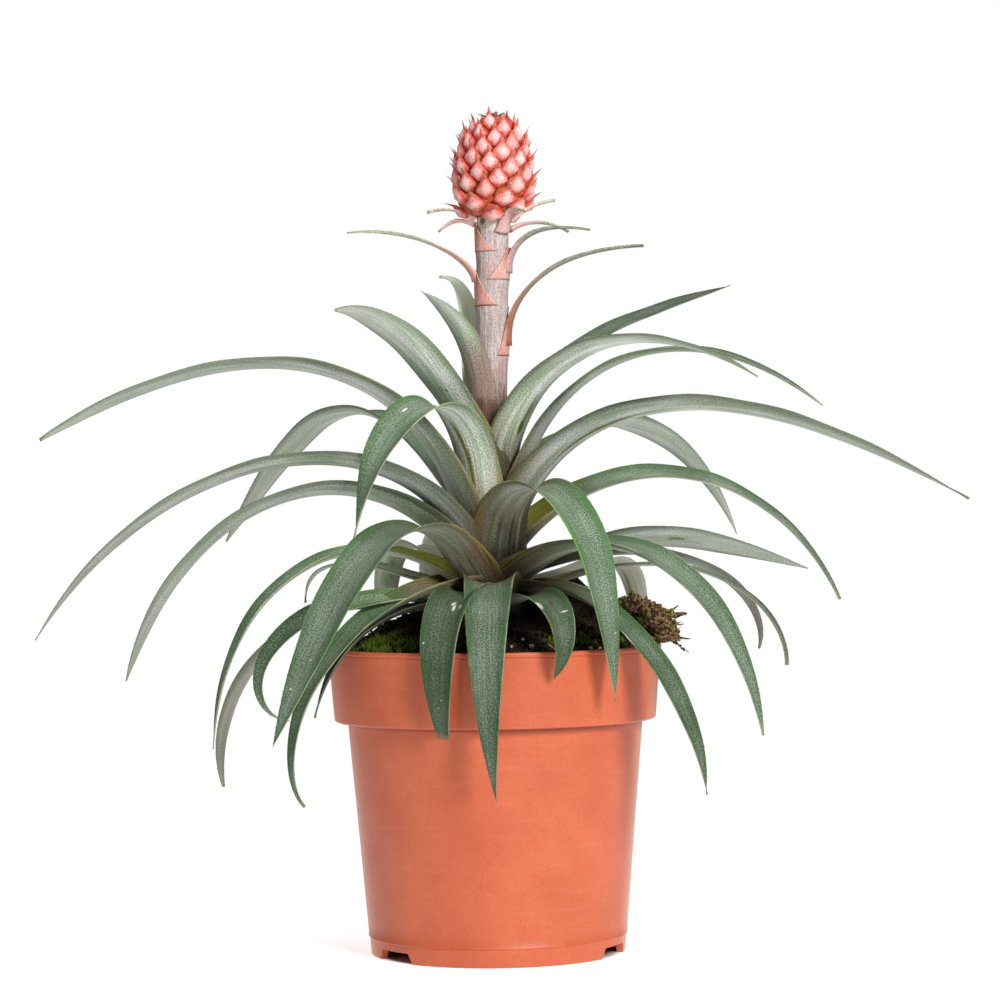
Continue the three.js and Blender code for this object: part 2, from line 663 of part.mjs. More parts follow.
// Blades are made from the top down, and each is cut clear of the ones above it
const taken = [stemSolid(CLEARANCE), fruitWithGap, soilWithGap, potWithGap, clump];

function clearOfOthers(solid) {
  return taken.reduce((rest, other) => rest.subtract(other), solid);
}

function addBlade(name, shape, segments, columns, colour) {
  const baseRadius = stemRadius(shape.height) + SHEATH_STEP + CLEARANCE + BLADE_THICKNESS / 2;
  const blade = largestBody(clearOfOthers(bladeSolid(shape, baseRadius, 0, segments, columns)));
  taken.push(bladeSolid(shape, baseRadius, CLEARANCE, segments, columns));
  addPart(name, blade, colour, 0.6, 0.08);
}

for (const shape of BRACTS) {
  addBlade(`bract_${shape.name}`, shape, BRACT_SEGMENTS, 3, COLOURS.bract);
}
for (const shape of LEAVES) {
  const segments = shape.length < SHORT_BLADE_LENGTH ? SHORT_BLADE_SEGMENTS : BLADE_SEGMENTS;
  addBlade(`leaf_${shape.name}`, shape, segments, 4, COLOURS.leaf);
}

export default plant;
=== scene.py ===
"""Looks of the potted ornamental pineapple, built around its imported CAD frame.

Metres, +Z up, front towards -Y. Sizes of the blades, the stalk, the fruit and the pot are
the CAD part's own driving dimensions, in millimetres, and MM turns them into metres.
"""

import math
import random

import bmesh
import bpy
import numpy as np
from mathutils import Matrix, Vector, noise

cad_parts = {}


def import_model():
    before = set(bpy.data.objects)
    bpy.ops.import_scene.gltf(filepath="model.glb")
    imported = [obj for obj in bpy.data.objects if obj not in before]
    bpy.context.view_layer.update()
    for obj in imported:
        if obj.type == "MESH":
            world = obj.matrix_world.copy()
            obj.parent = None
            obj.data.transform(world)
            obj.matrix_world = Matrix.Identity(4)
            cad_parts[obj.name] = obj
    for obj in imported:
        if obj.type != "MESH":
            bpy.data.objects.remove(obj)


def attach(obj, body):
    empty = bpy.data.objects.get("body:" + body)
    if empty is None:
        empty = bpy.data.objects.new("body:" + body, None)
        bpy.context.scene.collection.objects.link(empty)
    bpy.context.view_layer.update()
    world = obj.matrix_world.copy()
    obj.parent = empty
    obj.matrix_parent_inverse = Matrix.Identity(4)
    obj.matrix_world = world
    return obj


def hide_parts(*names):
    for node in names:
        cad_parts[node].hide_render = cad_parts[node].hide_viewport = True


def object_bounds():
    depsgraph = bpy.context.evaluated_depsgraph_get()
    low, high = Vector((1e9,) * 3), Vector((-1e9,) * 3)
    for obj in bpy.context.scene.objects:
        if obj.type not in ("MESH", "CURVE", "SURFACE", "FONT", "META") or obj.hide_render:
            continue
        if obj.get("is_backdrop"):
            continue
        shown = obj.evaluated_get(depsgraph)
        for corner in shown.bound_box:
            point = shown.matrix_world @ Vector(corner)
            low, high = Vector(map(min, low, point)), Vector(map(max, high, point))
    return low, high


MM = 0.001
GOLDEN_ANGLE = 137.508
NOISE_ROUGHNESS = 0.55
WHITE = (1.0, 1.0, 1.0, 1.0)

# Faces of a sliver with a corner at its tip

SLIVER_FACES = ((0, 1, 2), (0, 3, 1), (1, 3, 2), (2, 3, 0))

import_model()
cad_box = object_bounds()


# Small helpers

def srgb(red, green, blue):
    """A colour as a picture shows it, 0 to 255, as the linear colour that a shader takes."""
    channels = []
    for value in (red, green, blue):
        share = value / 255
        channels.append(share / 12.92 if share <= 0.04045 else ((share + 0.055) / 1.055) ** 2.4)
    return (*channels, 1.0)


def ramp(pairs, at):
    """Piecewise linear value through (position, value) pairs."""
    return np.interp(at, [pair[0] for pair in pairs], [pair[1] for pair in pairs])


def heading(azimuth_degrees):
    angle = np.radians(azimuth_degrees)
    return np.array([np.sin(angle), -np.cos(angle), 0.0])


def unit(vector):
    return vector / np.linalg.norm(vector)


class Build:
    """Points and faces of one mesh, in millimetres, with named numbers on its points."""

    def __init__(self, *numbers):
        self.points = []
        self.faces = []
        self.numbers = {name: [] for name in numbers}
        self.count = 0

    def add(self, points, faces, **numbers):
        points = np.asarray(points, float).reshape(-1, 3)
        self.points.append(points)
        self.faces.extend([tuple(self.count + corner for corner in face) for face in faces])
        for name, values in self.numbers.items():
            values.append(np.broadcast_to(numbers.get(name, 0.0), len(points)))
        self.count += len(points)

    def tube(self, rings, **numbers):
        """A closed tube through rings of points, with flat ends."""
        rows = len(rings)
        sides = len(rings[0])
        last = (rows - 1) * sides
        ends = [tuple(range(sides)), tuple(range(last, last + sides))]
        self.add(rings, grid_faces(rows, sides, closed=True) + ends, **numbers)

    def sheet(self, surfaces, **numbers):
        """A closed sheet between two grids of points, with numbers that spread over the grids."""
        shape = np.shape(surfaces)[:3]
        rows, columns = shape[1:]
        total = rows * columns
        faces = grid_faces(rows, columns) + grid_faces(rows, columns, start=total)
        border = [(row * columns + side, columns) for row in range(rows - 1) for side in (0, columns - 1)]
        border += [(row * columns + column, 1) for row in (0, rows - 1) for column in range(columns - 1)]
        faces += [(a, a + step, a + step + total, a + total) for a, step in border]
        spread = {name: np.broadcast_to(value, shape).ravel() for name, value in numbers.items()}
        self.add(surfaces, faces, **spread)

    def object(self, name, material, smooth=True):
        mesh = bpy.data.meshes.new(name)
        points = np.concatenate(self.points) * MM
        mesh.from_pydata(points.tolist(), [], self.faces)
        for number, values in self.numbers.items():
            attribute = mesh.attributes.new(number, "FLOAT", "POINT")
            attribute.data.foreach_set("value", np.concatenate(values).astype(np.float32))
        mesh.polygons.foreach_set("use_smooth", [smooth] * len(mesh.polygons))
        mesh.update()
        work = bmesh.new()
        work.from_mesh(mesh)
        bmesh.ops.recalc_face_normals(work, faces=work.faces)
        work.to_mesh(mesh)
        work.free()
        mesh.materials.append(material)
        return linked(name, mesh)


def grid_faces(rows, columns, start=0, closed=False):
    """Quads of a grid of points kept row by row; closed joins its last column to its first."""
    faces = []
    for row in range(rows - 1):
        for column in range(columns if closed else columns - 1):
            a = start + row * columns + column
            b = start + row * columns + (column + 1) % columns
            faces.append((a, b, b + columns, a + columns))
    return faces


def full_turn(count):
    return np.linspace(0, 2 * np.pi, count, endpoint=False)


def ring(radius, height, turn, offset=0.0):
    """Points at the turns round an upright axis, which may stand off to the right."""
    return np.stack([radius * np.sin(turn) + offset, -radius * np.cos(turn), np.full(len(turn), height)], 1)


def linked(name, data):
    """A new object in the scene."""
    thing = bpy.data.objects.new(name, data)
    bpy.context.scene.collection.objects.link(thing)
    return thing


def place(piece, slot, *nodes):
    """The piece rides on the part's body and stands for the CAD nodes, which it hides; the slot is not used.
    """
    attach(piece, "root")
    if nodes:
        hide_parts(*nodes)


# Shader building

class Shader:
    """A node material with one Principled shader."""

    def __init__(self, name, roughness=0.6, specular=0.4):
        self.material = bpy.data.materials.new(name)
        self.material.use_nodes = True
        self.tree = self.material.node_tree
        self.surface = self.tree.nodes["Principled BSDF"]
        self.surface.inputs["Roughness"].default_value = roughness
        self.surface.inputs["Specular IOR Level"].default_value = specular

    def feed(self, socket, value):
        if isinstance(value, bpy.types.NodeSocket):
            self.tree.links.new(value, socket)
        else:
            socket.default_value = value

    def node(self, kind, *values, output=0, **settings):
        """An output of a new node whose first inputs take the values."""
        made = self.tree.nodes.new(kind)
        for setting, value in settings.items():
            setattr(made, setting, value)
        for socket, value in zip(made.inputs, values):
            self.feed(socket, value)
        return made.outputs[output]

    def number(self, name):
        return self.node("ShaderNodeAttribute", output="Fac", attribute_name=name)

    def numbers(self, *names):
        return [self.number(name) for name in names]

    def vector(self, x, y, z):
        return self.node("ShaderNodeCombineXYZ", x, y, z)

    def height(self, vector):
        return self.node("ShaderNodeSeparateXYZ", vector, output=2)

    def scaled(self, vector, value):
        """The vector or colour times a number."""
        made = self.node("ShaderNodeVectorMath", operation="SCALE").node
        self.feed(made.inputs[0], vector[:3] if isinstance(vector, tuple) else vector)
        self.feed(made.inputs["Scale"], value)
        return made.outputs[0]

    def position(self):
        """Place on the object in millimetres."""
        return self.scaled(self.node("ShaderNodeTexCoord", output="Object"), 1 / MM)

    def stretched(self, vector, ways):
        return self.node("ShaderNodeVectorMath", vector, ways, operation="MULTIPLY")

    def math(self, operation, a, b=0.0, clamp=False):
        return self.node("ShaderNodeMath", a, b, operation=operation, use_clamp=clamp)

    def add(self, a, b):
        return self.math("ADD", a, b)

    def times(self, a, b):
        return self.math("MULTIPLY", a, b)

    def blend(self, *parts):
        """The values times their weights, added up."""
        total = 0.0
        for value, weight in parts:
            total = self.add(self.times(value, weight), total)
        return total

    def rise(self, value, low, high, start=0.0, end=1.0):
        """Goes smoothly from start to end while value goes from low to high."""
        given = (value, low, high, start, end)
        return self.node("ShaderNodeMapRange", *given, interpolation_type="SMOOTHSTEP")

    def noise(self, vector, scale=1.0, detail=3.0):
        made = self.node("ShaderNodeTexNoise").node
        settings = {"Vector": vector, "Scale": scale, "Detail": detail, "Roughness": NOISE_ROUGHNESS}
        for name, value in settings.items():
            self.feed(made.inputs[name], value)
        return made.outputs["Fac"]

    def mix(self, share, a, b):
        made = self.node("ShaderNodeMix", share, data_type="RGBA", output=2).node
        self.feed(made.inputs[6], a)
        self.feed(made.inputs[7], b)
        return made.outputs[2]

    def fade(self, colour, tint, value, low, high, start=0.0, end=1.0):
        """The tint laid over the colour while value goes from low to high."""
        return self.mix(self.rise(value, low, high, start, end), colour, tint)

    def finish(self, colour, bumps=None, strength=0.0, distance_mm=0.0):
        """The material, with its colour and its bumps."""
        self.feed(self.surface.inputs["Base Color"], colour)
        if bumps is not None:
            made = self.node("ShaderNodeBump").node
            made.inputs["Strength"].default_value = strength
            made.inputs["Distance"].default_value = distance_mm * MM
            self.feed(made.inputs["Height"], bumps)
            self.feed(self.surface.inputs["Normal"], made.outputs[0])
        return self.material


# Driving dimensions of the part, in millimetres and degrees

POT_HEIGHT = 109.5
RIM_RADIUS = 60.0
RIM_LOWER_RADIUS = 57.6
RIM_BAND_HEIGHT = 26.4
RIM_FOOT = POT_HEIGHT - RIM_BAND_HEIGHT
RIM_CORNER = 0.8
BODY_RADIUS = 52.8
FOOT_RADIUS = 45.5
POT_WALL = 1.3
FOOT_RING_WIDTH = 2.4
POT_FLOOR_UNDERSIDE = 4.2
POT_FLOOR_TOP = 5.6
SEAM_HEIGHT = 6.7
RIM_LIP_HEIGHT = 1.6
NOTCH_AZIMUTHS = (-53.5, 65.5, 185.5)
NOTCH_HEIGHT = 3.8
NOTCH_HALF_ANGLE_LOW = 13.0
NOTCH_HALF_ANGLE_HIGH = 10.0
DRAIN_HOLE_RADIUS = 3.5
DRAIN_HOLE_DISTANCE = 31.0
DRAIN_HOLE_COUNT = 6

SOIL_EDGE_HEIGHT = 107.6
SOIL_MOUND = 11.0
SOIL_GAP = 0.4
SOIL_CRUMBS = 1300
SOIL_REACH = 57.5
CRUMB_DISTANCES = (13, 56.5)
MOSS_DISTANCES = (14, 56.5)
SOIL_LUMPS = ((28.0, 14.0, 17.0, 11.0), (-26.0, 8.0, 5.5, 13.0))
CLUMP_CENTRE = np.array([53.5, 9.0, 117.5])
CLUMP_REACH = 12.5
CLUMP_HEIGHT = 9.5
CLUMP_SLOPE = 0.34
CLUMP_ROOTLETS = 90
CLUMP_CRUMBS = 900

# Ragged ends of the clump and its beaded twig: start, end, number of crumbs and size

CLUMP_SPURS = (
    ((58.0, 5.0, 118.5), (69.0, 2.0, 119.8), 44, 1.9),
    ((60.0, 5.0, 119.5), (65.0, 3.0, 121.5), 20, 1.4),
    ((59.0, 5.0, 113.5), (66.5, 2.0, 110.5), 40, 1.9),
    ((64.5, 3.0, 110.0), (67.4, 2.5, 107.6), 9, 0.75),
    ((67.2, 2.5, 107.7), (69.8, 2.0, 105.9), 8, 0.6),
)

# Pale chips on the peat: place and size

CHIPS = (
    (10.0, -42.0, 0.8), (13.0, -47.0, 1.3), (33.5, -42.0, 0.8), (35.0, -44.5, 0.9), (36.5, -40.0, 0.7),
    (-20.0, -50.0, 0.7), (24.0, -46.0, 0.7), (6.0, -50.0, 0.6),
)

# Foot and tip of the bit of straw at the rim

STRAW = ((18.6, -52.5, 112.2), (22.3, -57.2, 108.9))

STEM_FOOT = 106.0
STALK_START = 190.0
STALK_TOP = 263.0
STALK_LEAN = 0.022
STALK_RADIUS = 5.7
SHEATH_HEIGHTS = (213.0, 231.0, 240.5, 251.0)
SHEATH_STEP = 0.45
STEM_PROFILE = ((112, 9.0), (130, 9.6), (160, 7.8), (185, 6.2), (200, STALK_RADIUS))

FRUIT_BOTTOM = 263.4
FRUIT_TOP = 298.6
FRUIT_EYES = 70
FRUITLET_WIDTH_LOW = 6.9
FRUITLET_WIDTH_HIGH = 4.4
FRUITLET_SPREAD = 1.08
FRUIT_PROFILE = (
    (0, 7.6), (0.08, 9.8), (0.2, 11.3), (0.38, 11.9), (0.58, 11.3), (0.76, 9.6), (0.9, 7.2), (1, 4.6),
)

BLADE_THICKNESS = 0.9
MARGIN_THICKNESS = 0.3
BLADE_TAPER = 3.2
BASE_FLARE = 0.5
BASE_REACH = 0.3
CLASP = 9.0
CLASP_STEPS = 6
BLADE_GAP = 0.8
CHANNEL = ((-0.1, 1.7), (0, 1.25), (0.12, 0.9), (0.35, 0.6), (0.7, 0.5), (1, 0.6))


# Blades of the leaves and bracts

def leaf(name, azimuth, height, length, width, lift, bend, sweep=0, roll=0, taper=BLADE_TAPER,
         turn=0, drift=0, cut=1):
    """One blade: base azimuth and height, length, width, (launch, end) elevations, (place, rate) of its
    bend, how far it sweeps round and rolls over by its tip and how late it tapers. Rarer are a turn
    near the base, a drift to the side and a cut tip."""
    return dict(locals())


LEAVES = (
    leaf("short_left", -38, 181, 70, 11.5, (100, 21), (0.49, 1.5), 2, 33, 2.8),
    leaf("back_left_upright", -144, 180, 73, 13, (85, 5), (0.84, 2.2), 6, -7, 2.9),
    leaf("upper_right_back", 125, 181, 127, 10.5, (68, 15), (0.24, 1.5), 4, 26, 4.5),
    leaf("upper_right", 41, 172, 150, 15.5, (84, -24), (0.28, 1.0), -3, -10, 4.5),
    leaf("upper_left", -44, 174, 96, 17, (70, -5), (0.57, 0.9), 10, 27, 3.7),
    leaf("back_1", 180, 164, 124, 15, (58, -55), (0.38, 1.4)),
    leaf("upper_right_low", 76, 159, 144, 14, (77, -37), (0.47, 1.3), 3, 10, 4.5),
    leaf("right_back_drooping", 134, 156, 148, 18, (67, -64), (0.44, 1.0), -6, -49, 1.6),
    leaf("right_long", 57, 150, 201, 18, (71, -27), (0.26, 1.2), -1, -35, 2.8),
    leaf("left_long_high", -70, 146, 190, 19.5, (76, -26), (0.38, 1.5), -31, 12, 4.5),
    leaf("back_left_broad", -134, 154, 168, 17.5, (46, -43), (0.45, 2.4), -2, 15, 3.4),
    leaf("front_left_arched", -40, 147, 124, 19.5, (93, -77), (0.47, 1.8), -88, -18, 4.5, turn=33),
    leaf("left_long_mid", -45, 134, 202, 14, (80, -59), (0.33, 0.9), -3, 48, 2.7, turn=-29),
    leaf("back_2", 177, 146, 125, 15, (50, -68), (0.42, 1.3)),
    leaf("front_right_arched", 14, 137, 129, 21.5, (74, -83), (0.33, 2.0), -10, 5, 3.3, turn=48),
    leaf("left_long_low", -62, 135, 167, 17.5, (56, -70), (0.42, 1.2), -38, 35, 3.3),
    leaf("right_mid", 116, 143, 163, 17, (50, -61), (0.46, 1.0), 3, 42, 3),
    leaf("back_left_hanging_low", -134, 131, 78, 13, (28, -85), (0.54, 3.2), -19, 22, 4.5),
    leaf("back_3", -173, 137, 130, 15, (44, -70), (0.42, 1.3)),
    leaf("back_right_hanging", 130, 127, 89, 14, (15, -76), (0.65, 3.7), 27, -5, 4.5),
    leaf("back_left_hanging", -156, 132, 86, 12, (41, -92), (0.50, 2.3), -4, 23, 4.5),
    leaf("right_back_pale", 120, 132, 126, 16.5, (25, -17), (0.41, 1.4), -11, -82, 1.8),
    leaf("right_dark", 97, 134, 107, 15.5, (22, -108), (0.77, 0.9), 7, -11, 3.4),
    leaf("right_front", 58, 131, 134, 21, (41, -79), (0.40, 1.2), 18, 14, 2.6),
    leaf("front_left_broad", -37, 128, 153, 19.5, (54, -54), (0.29, 1.9), 5, -13, 3.3),
    leaf("left_folded", -76, 129, 137, 16.5, (42, -86), (0.42, 1.2), 2, -14, 2),
    leaf("front_centre", -2, 124, 115, 20, (41, -101), (0.34, 1.2), -6, 3, 1.8, drift=3),
    leaf("left_thin_back", -117, 127, 77, 12, (17, -89), (0.84, 1.7), 0, -3, 3.3),
    leaf("right_blunt", 84, 126, 114, 8, (27, -91), (0.70, 1.0), -5, -1, 4.5, cut=0.93),
    leaf("back_4", 176, 126, 125, 13, (32, -84), (0.45, 1.2)),
    leaf("front_left_low", -59, 127, 117, 19.5, (28, -137), (0.58, 0.6), -24, -14, 1.8),
    leaf("front_right_low", 50, 127, 120, 12.5, (34, -86), (0.32, 0.7), -2, 7, 4.5),
    leaf("left_grey", -100, 122, 133, 12, (18, -100), (0.57, 1.0), -6, 20, 4.5),
    leaf("left_hooked", -67, 124, 110, 13.5, (9, -174), (0.81, 1.2), -12, -73, 1.6),
    leaf("front_left_cut", -16, 123, 94, 18, (20, -107), (0.53, 1.7), -5, 10, 2.7, cut=0.88),
    leaf("front_right_short", 18, 123, 82, 14.5, (10, -131), (0.74, 2.1), 13, 21, 3.3),
    leaf("left_thin_low", -57, 120, 81, 13, (19, -74), (0.50, 1.1), -2, 9),
    leaf("left_soil", -82, 119, 45, 9, (18, -8), (0.50, 1.2)),
)

BRACTS = (
    leaf("right_tiny", 78, 261, 18, 3.4, (44, 6), (0.5, 1.2)),
    leaf("left_under_fruit", -84, 261.5, 18, 4.2, (44, -14), (0.42, 1.4)),
    leaf("front", 40, 257, 16, 5.4, (76, -25), (0.55, 1.6)),
    leaf("left_curled", -96, 260, 14, 4.2, (34, -40), (0.42, 1.4)),
    leaf("right_back", 112, 258, 24, 4.0, (38, -26), (0.39, 1.0)),
    leaf("back", 178, 252, 20, 5.0, (60, 5), (0.4, 1.2)),
    leaf("right_upper", 80, 243, 38, 5.6, (92, -9), (0.33, 1.4)),
    leaf("left_long", -92, 240, 52, 5.6, (90, -7), (0.18, 0.7)),
    leaf("right_lower", 84, 217, 67, 6.2, (94, 2), (0.33, 1.2)),
)

SPINE_PITCH = 3.4
SPINE_LENGTH = 0.3

# How finely the blades are divided, along and across

STEP_LENGTH = 1.7
LEAST_STEPS = 40
LEAF_COLUMNS = 17
BRACT_STEPS = 30
BRACT_COLUMNS = 9


def stem_radius(height):
    return ramp(STEM_PROFILE, height)


def axis_offset(height):
    return np.maximum(0, height - STALK_START) * STALK_LEAN


def base_of(shape):
    """How far from the stalk's axis a blade starts."""
    return stem_radius(shape["height"]) + SHEATH_STEP + BLADE_GAP


def midrib(shape, steps, clasp_steps=0):
    """Shares of the blade's length, points along its middle, and the directions along, across and up
    there. The shares below zero are the foot that clasps the stem."""
    foot = np.linspace(-CLASP / shape["length"], 0, clasp_steps + 1)[:-1]
    along = np.concatenate([foot, np.linspace(0, 1, steps + 1)])
    inside = np.clip(along, 1e-4, 1 - 1e-4)
    bend_at, bend_rate = shape["bend"]
    odds = (1 - inside) * bend_at / (inside * (1 - bend_at))
    launch, end = shape["lift"]
    degrees = launch + (end - launch) / (1 + odds ** bend_rate)
    below = np.clip(-along * shape["length"] / CLASP, 0, 1)
    lift = np.radians(degrees + (90 - degrees) * below ** 0.7)
    share = np.maximum(along, 0)
    swung = shape["azimuth"] + shape["sweep"] * share ** 2 + shape["turn"] * share * (2 - share)
    azimuth = np.radians(swung)
    way = np.stack([np.cos(lift) * np.sin(azimuth), -np.cos(lift) * np.cos(azimuth), np.sin(lift)], 1)
    base = heading(shape["azimuth"]) * base_of(shape)
    base += np.array([axis_offset(shape["height"]), 0, shape["height"]])
    strides = np.diff(along) * shape["length"]
    travelled = np.vstack([np.zeros(3), np.cumsum((way[1:] + way[:-1]) * strides[:, None] / 2, axis=0)])
    points = base + travelled - travelled[clasp_steps]
    level = np.stack([np.cos(azimuth), np.sin(azimuth), np.zeros(len(along))], 1)
    points += level * (shape["drift"] * share ** 4)[:, None]
    turn = np.radians(shape["roll"] * share)[:, None]
    lifted = np.cross(way, level)
    side = level * np.cos(turn) + lifted * np.sin(turn)
    up = np.cross(way, side)
    return along, points, way, side, up


def blade_width(shape, along):
    flare = 1 + BASE_FLARE * np.maximum(0, 1 - along / BASE_REACH) ** 2
    share = np.maximum(along, 0)
    body = shape["width"] * flare * (1 - (share * shape["cut"]) ** shape["taper"])
    return body + 0.45 * (1 - share) + 0.12


def margin_spines(build, shape, rng, seed, edge_points, out_ways, ways, along):
    """Tiny hooks along one margin, leaning towards the tip."""
    travelled = np.maximum(along, -0.01) * shape["length"]
    at = 0.16 * shape["length"] + rng.random() * SPINE_PITCH
    while at < 0.97 * shape["length"]:
        share = at / shape["length"]
        point = np.array([np.interp(at, travelled, edge_points[:, axis]) for axis in range(3)])
        index = int(np.argmin(np.abs(travelled - at)))
        out = out_ways[index]
        way = ways[index]
        across = np.cross(out, way) * 0.14
        foot = point + way * 0.25 - out * 0.2
        size = SPINE_LENGTH * (0.7 + 0.5 * rng.random()) * min(1, 3 * share)
        tip = point + out * size + way * size * 0.9
        corners = [point - way * 0.35 - out * 0.2, foot + across, foot - across, tip]
        build.add(corners, SLIVER_FACES, along=share, across=1.0, upper=1.0, side_mm=shape["width"] / 2,
                  along_mm=at, seed=seed)
        at += SPINE_PITCH * (0.6 + 0.8 * rng.random())


def sheet_points(points, side, up, x, z):
    """One face of a sheet, moved x across and z up from the points along its middle."""
    return points[:, None] + side[:, None] * x[..., None] + up[:, None] * z[..., None]


def blade(name, shape, material, steps, columns, seed, spines=True):
    """A thin closed channelled blade with both faces split alike."""
    along, points, way, side, up = midrib(shape, steps, CLASP_STEPS if spines else 0)
    build = Build("along", "across", "upper", "side_mm", "along_mm", "seed")
    rng = random.Random(seed)
    across = np.linspace(-1, 1, columns)
    forth = along[:, None]
    share = np.maximum(forth, 0)
    half = blade_width(shape, forth) / 2
    angle = ramp(CHANNEL, forth)
    bend = across * angle
    thin = np.maximum(across ** 2, share ** 6)
    thick = BLADE_THICKNESS + (MARGIN_THICKNESS - BLADE_THICKNESS) * thin
    phase = rng.random() * 6.28
    ripple = 0.22 * np.sin(forth * shape["length"] / 5.5 + phase) * across ** 2 * np.sin(share * 3.1416)
    ripple = ripple + 0.5 * np.sin(forth * 4.4 + phase) * across * share ** 2
    surfaces = []
    for face in (1, -1):
        offset = face * thick / 2
        x = half * np.sin(bend) / angle - np.sin(bend) * offset
        z = half * (1 - np.cos(bend)) / angle + np.cos(bend) * offset + ripple
        surfaces.append(sheet_points(points, side, up, x, z))
    upper = np.array([1.0, 0.0])[:, None, None]
    build.sheet(surfaces, along=forth, across=across, upper=upper, side_mm=across * half,
                along_mm=forth * shape["length"], seed=float(seed))
    if spines:
        middle = (surfaces[0] + surfaces[1]) / 2
        for column, inner in ((0, 1), (-1, -2)):
            out = middle[:, column] - middle[:, inner]
            out = out / (np.linalg.norm(out, axis=1)[:, None] + 1e-9)
            margin_spines(build, shape, rng, seed, middle[:, column], out, way, along)
    return build.object(name + "_blade", material)


# Materials of the blades

UNDER_POWDER = srgb(210, 209, 207)
UNDER_GREEN = srgb(155, 173, 145)
UNDER_EDGE = srgb(70, 94, 48)
UNDER_FAR = srgb(170, 181, 160)
UPPER_POWDER = srgb(152, 166, 148)
UPPER_GREEN = srgb(46, 74, 34)
MARGIN_GREEN = srgb(58, 106, 42)
EDGE_BROWN = srgb(140, 118, 76)
MARGIN_LINE = srgb(170, 180, 150)
BASE_OLIVE = srgb(114, 100, 44)
BASE_BROWN = srgb(106, 84, 68)
BASE_DARK = srgb(50, 40, 24)
TIP_DRY = srgb(150, 124, 82)
PALE_CREAM = srgb(206, 204, 184)
PALE_GREY = srgb(170, 172, 150)

# Blades that leave the stem below this height start in deeper shade

SHADED_BELOW = 130

# How each leaf looks: powder on its upper face, warm stain at its base, lightness (partly its own tone,
# partly painted light and shade for how lit the blade is), paleness, green of its margins and dryness of
# its tip; a row names only what is not usual

USUAL_LOOK = dict(powder=0.5, warm=0.65, light=1.0, pale=0.0, margin=0.7, dry=0.4)
LOOKS = {
    "short_left": dict(light=1.55, warm=0.9),
    "back_left_upright": dict(powder=1.4, light=3.2, warm=0.2, margin=0.2),
    "upper_right_back": dict(powder=0.45, light=0.85, warm=0.2),
    "upper_right": dict(light=1.5, warm=0.5),
    "upper_left": dict(light=1.3, warm=0.5),
    "upper_right_low": dict(light=1.3),
    "right_long": dict(light=1.05),
    "left_long_high": dict(light=1.15),
    "front_left_arched": dict(powder=0.5, light=1.85, warm=0.6),
    "left_long_mid": dict(light=0.8),
    "front_right_arched": dict(powder=0.45, light=1.35, warm=0.95, margin=1.0),
    "left_long_low": dict(light=0.85),
    "right_mid": dict(light=1.35),
    "back_left_hanging_low": dict(light=1.4, pale=0.5),
    "back_right_hanging": dict(pale=0.8),
    "back_left_hanging": dict(light=1.6, pale=0.9),
    "right_back_pale": dict(powder=0.95, light=0.8),
    "right_dark": dict(light=0.7),
    "right_front": dict(light=1.4),
    "front_left_broad": dict(powder=0.5, light=1.08, warm=1.0, margin=1.0),
    "left_folded": dict(powder=0.4, light=1.75),
    "front_centre": dict(powder=0.42, light=0.92, margin=0.6),
    "left_thin_back": dict(light=1.3),
    "right_blunt": dict(light=1.1, dry=1.0),
    "front_left_low": dict(powder=0.3, light=1.5),
    "front_right_low": dict(powder=0.35, light=1.1),
    "left_grey": dict(powder=0.9, light=0.85),
    "left_hooked": dict(powder=0.35, light=1.8),
    "front_left_cut": dict(powder=0.25, light=0.88, margin=0.5, dry=1.0),
    "front_right_short": dict(powder=0.2, margin=0.8, dry=0.8),
    "left_thin_low": dict(light=0.5),
}


def look_of(name):
    return {**USUAL_LOOK, **LOOKS.get(name, {})}


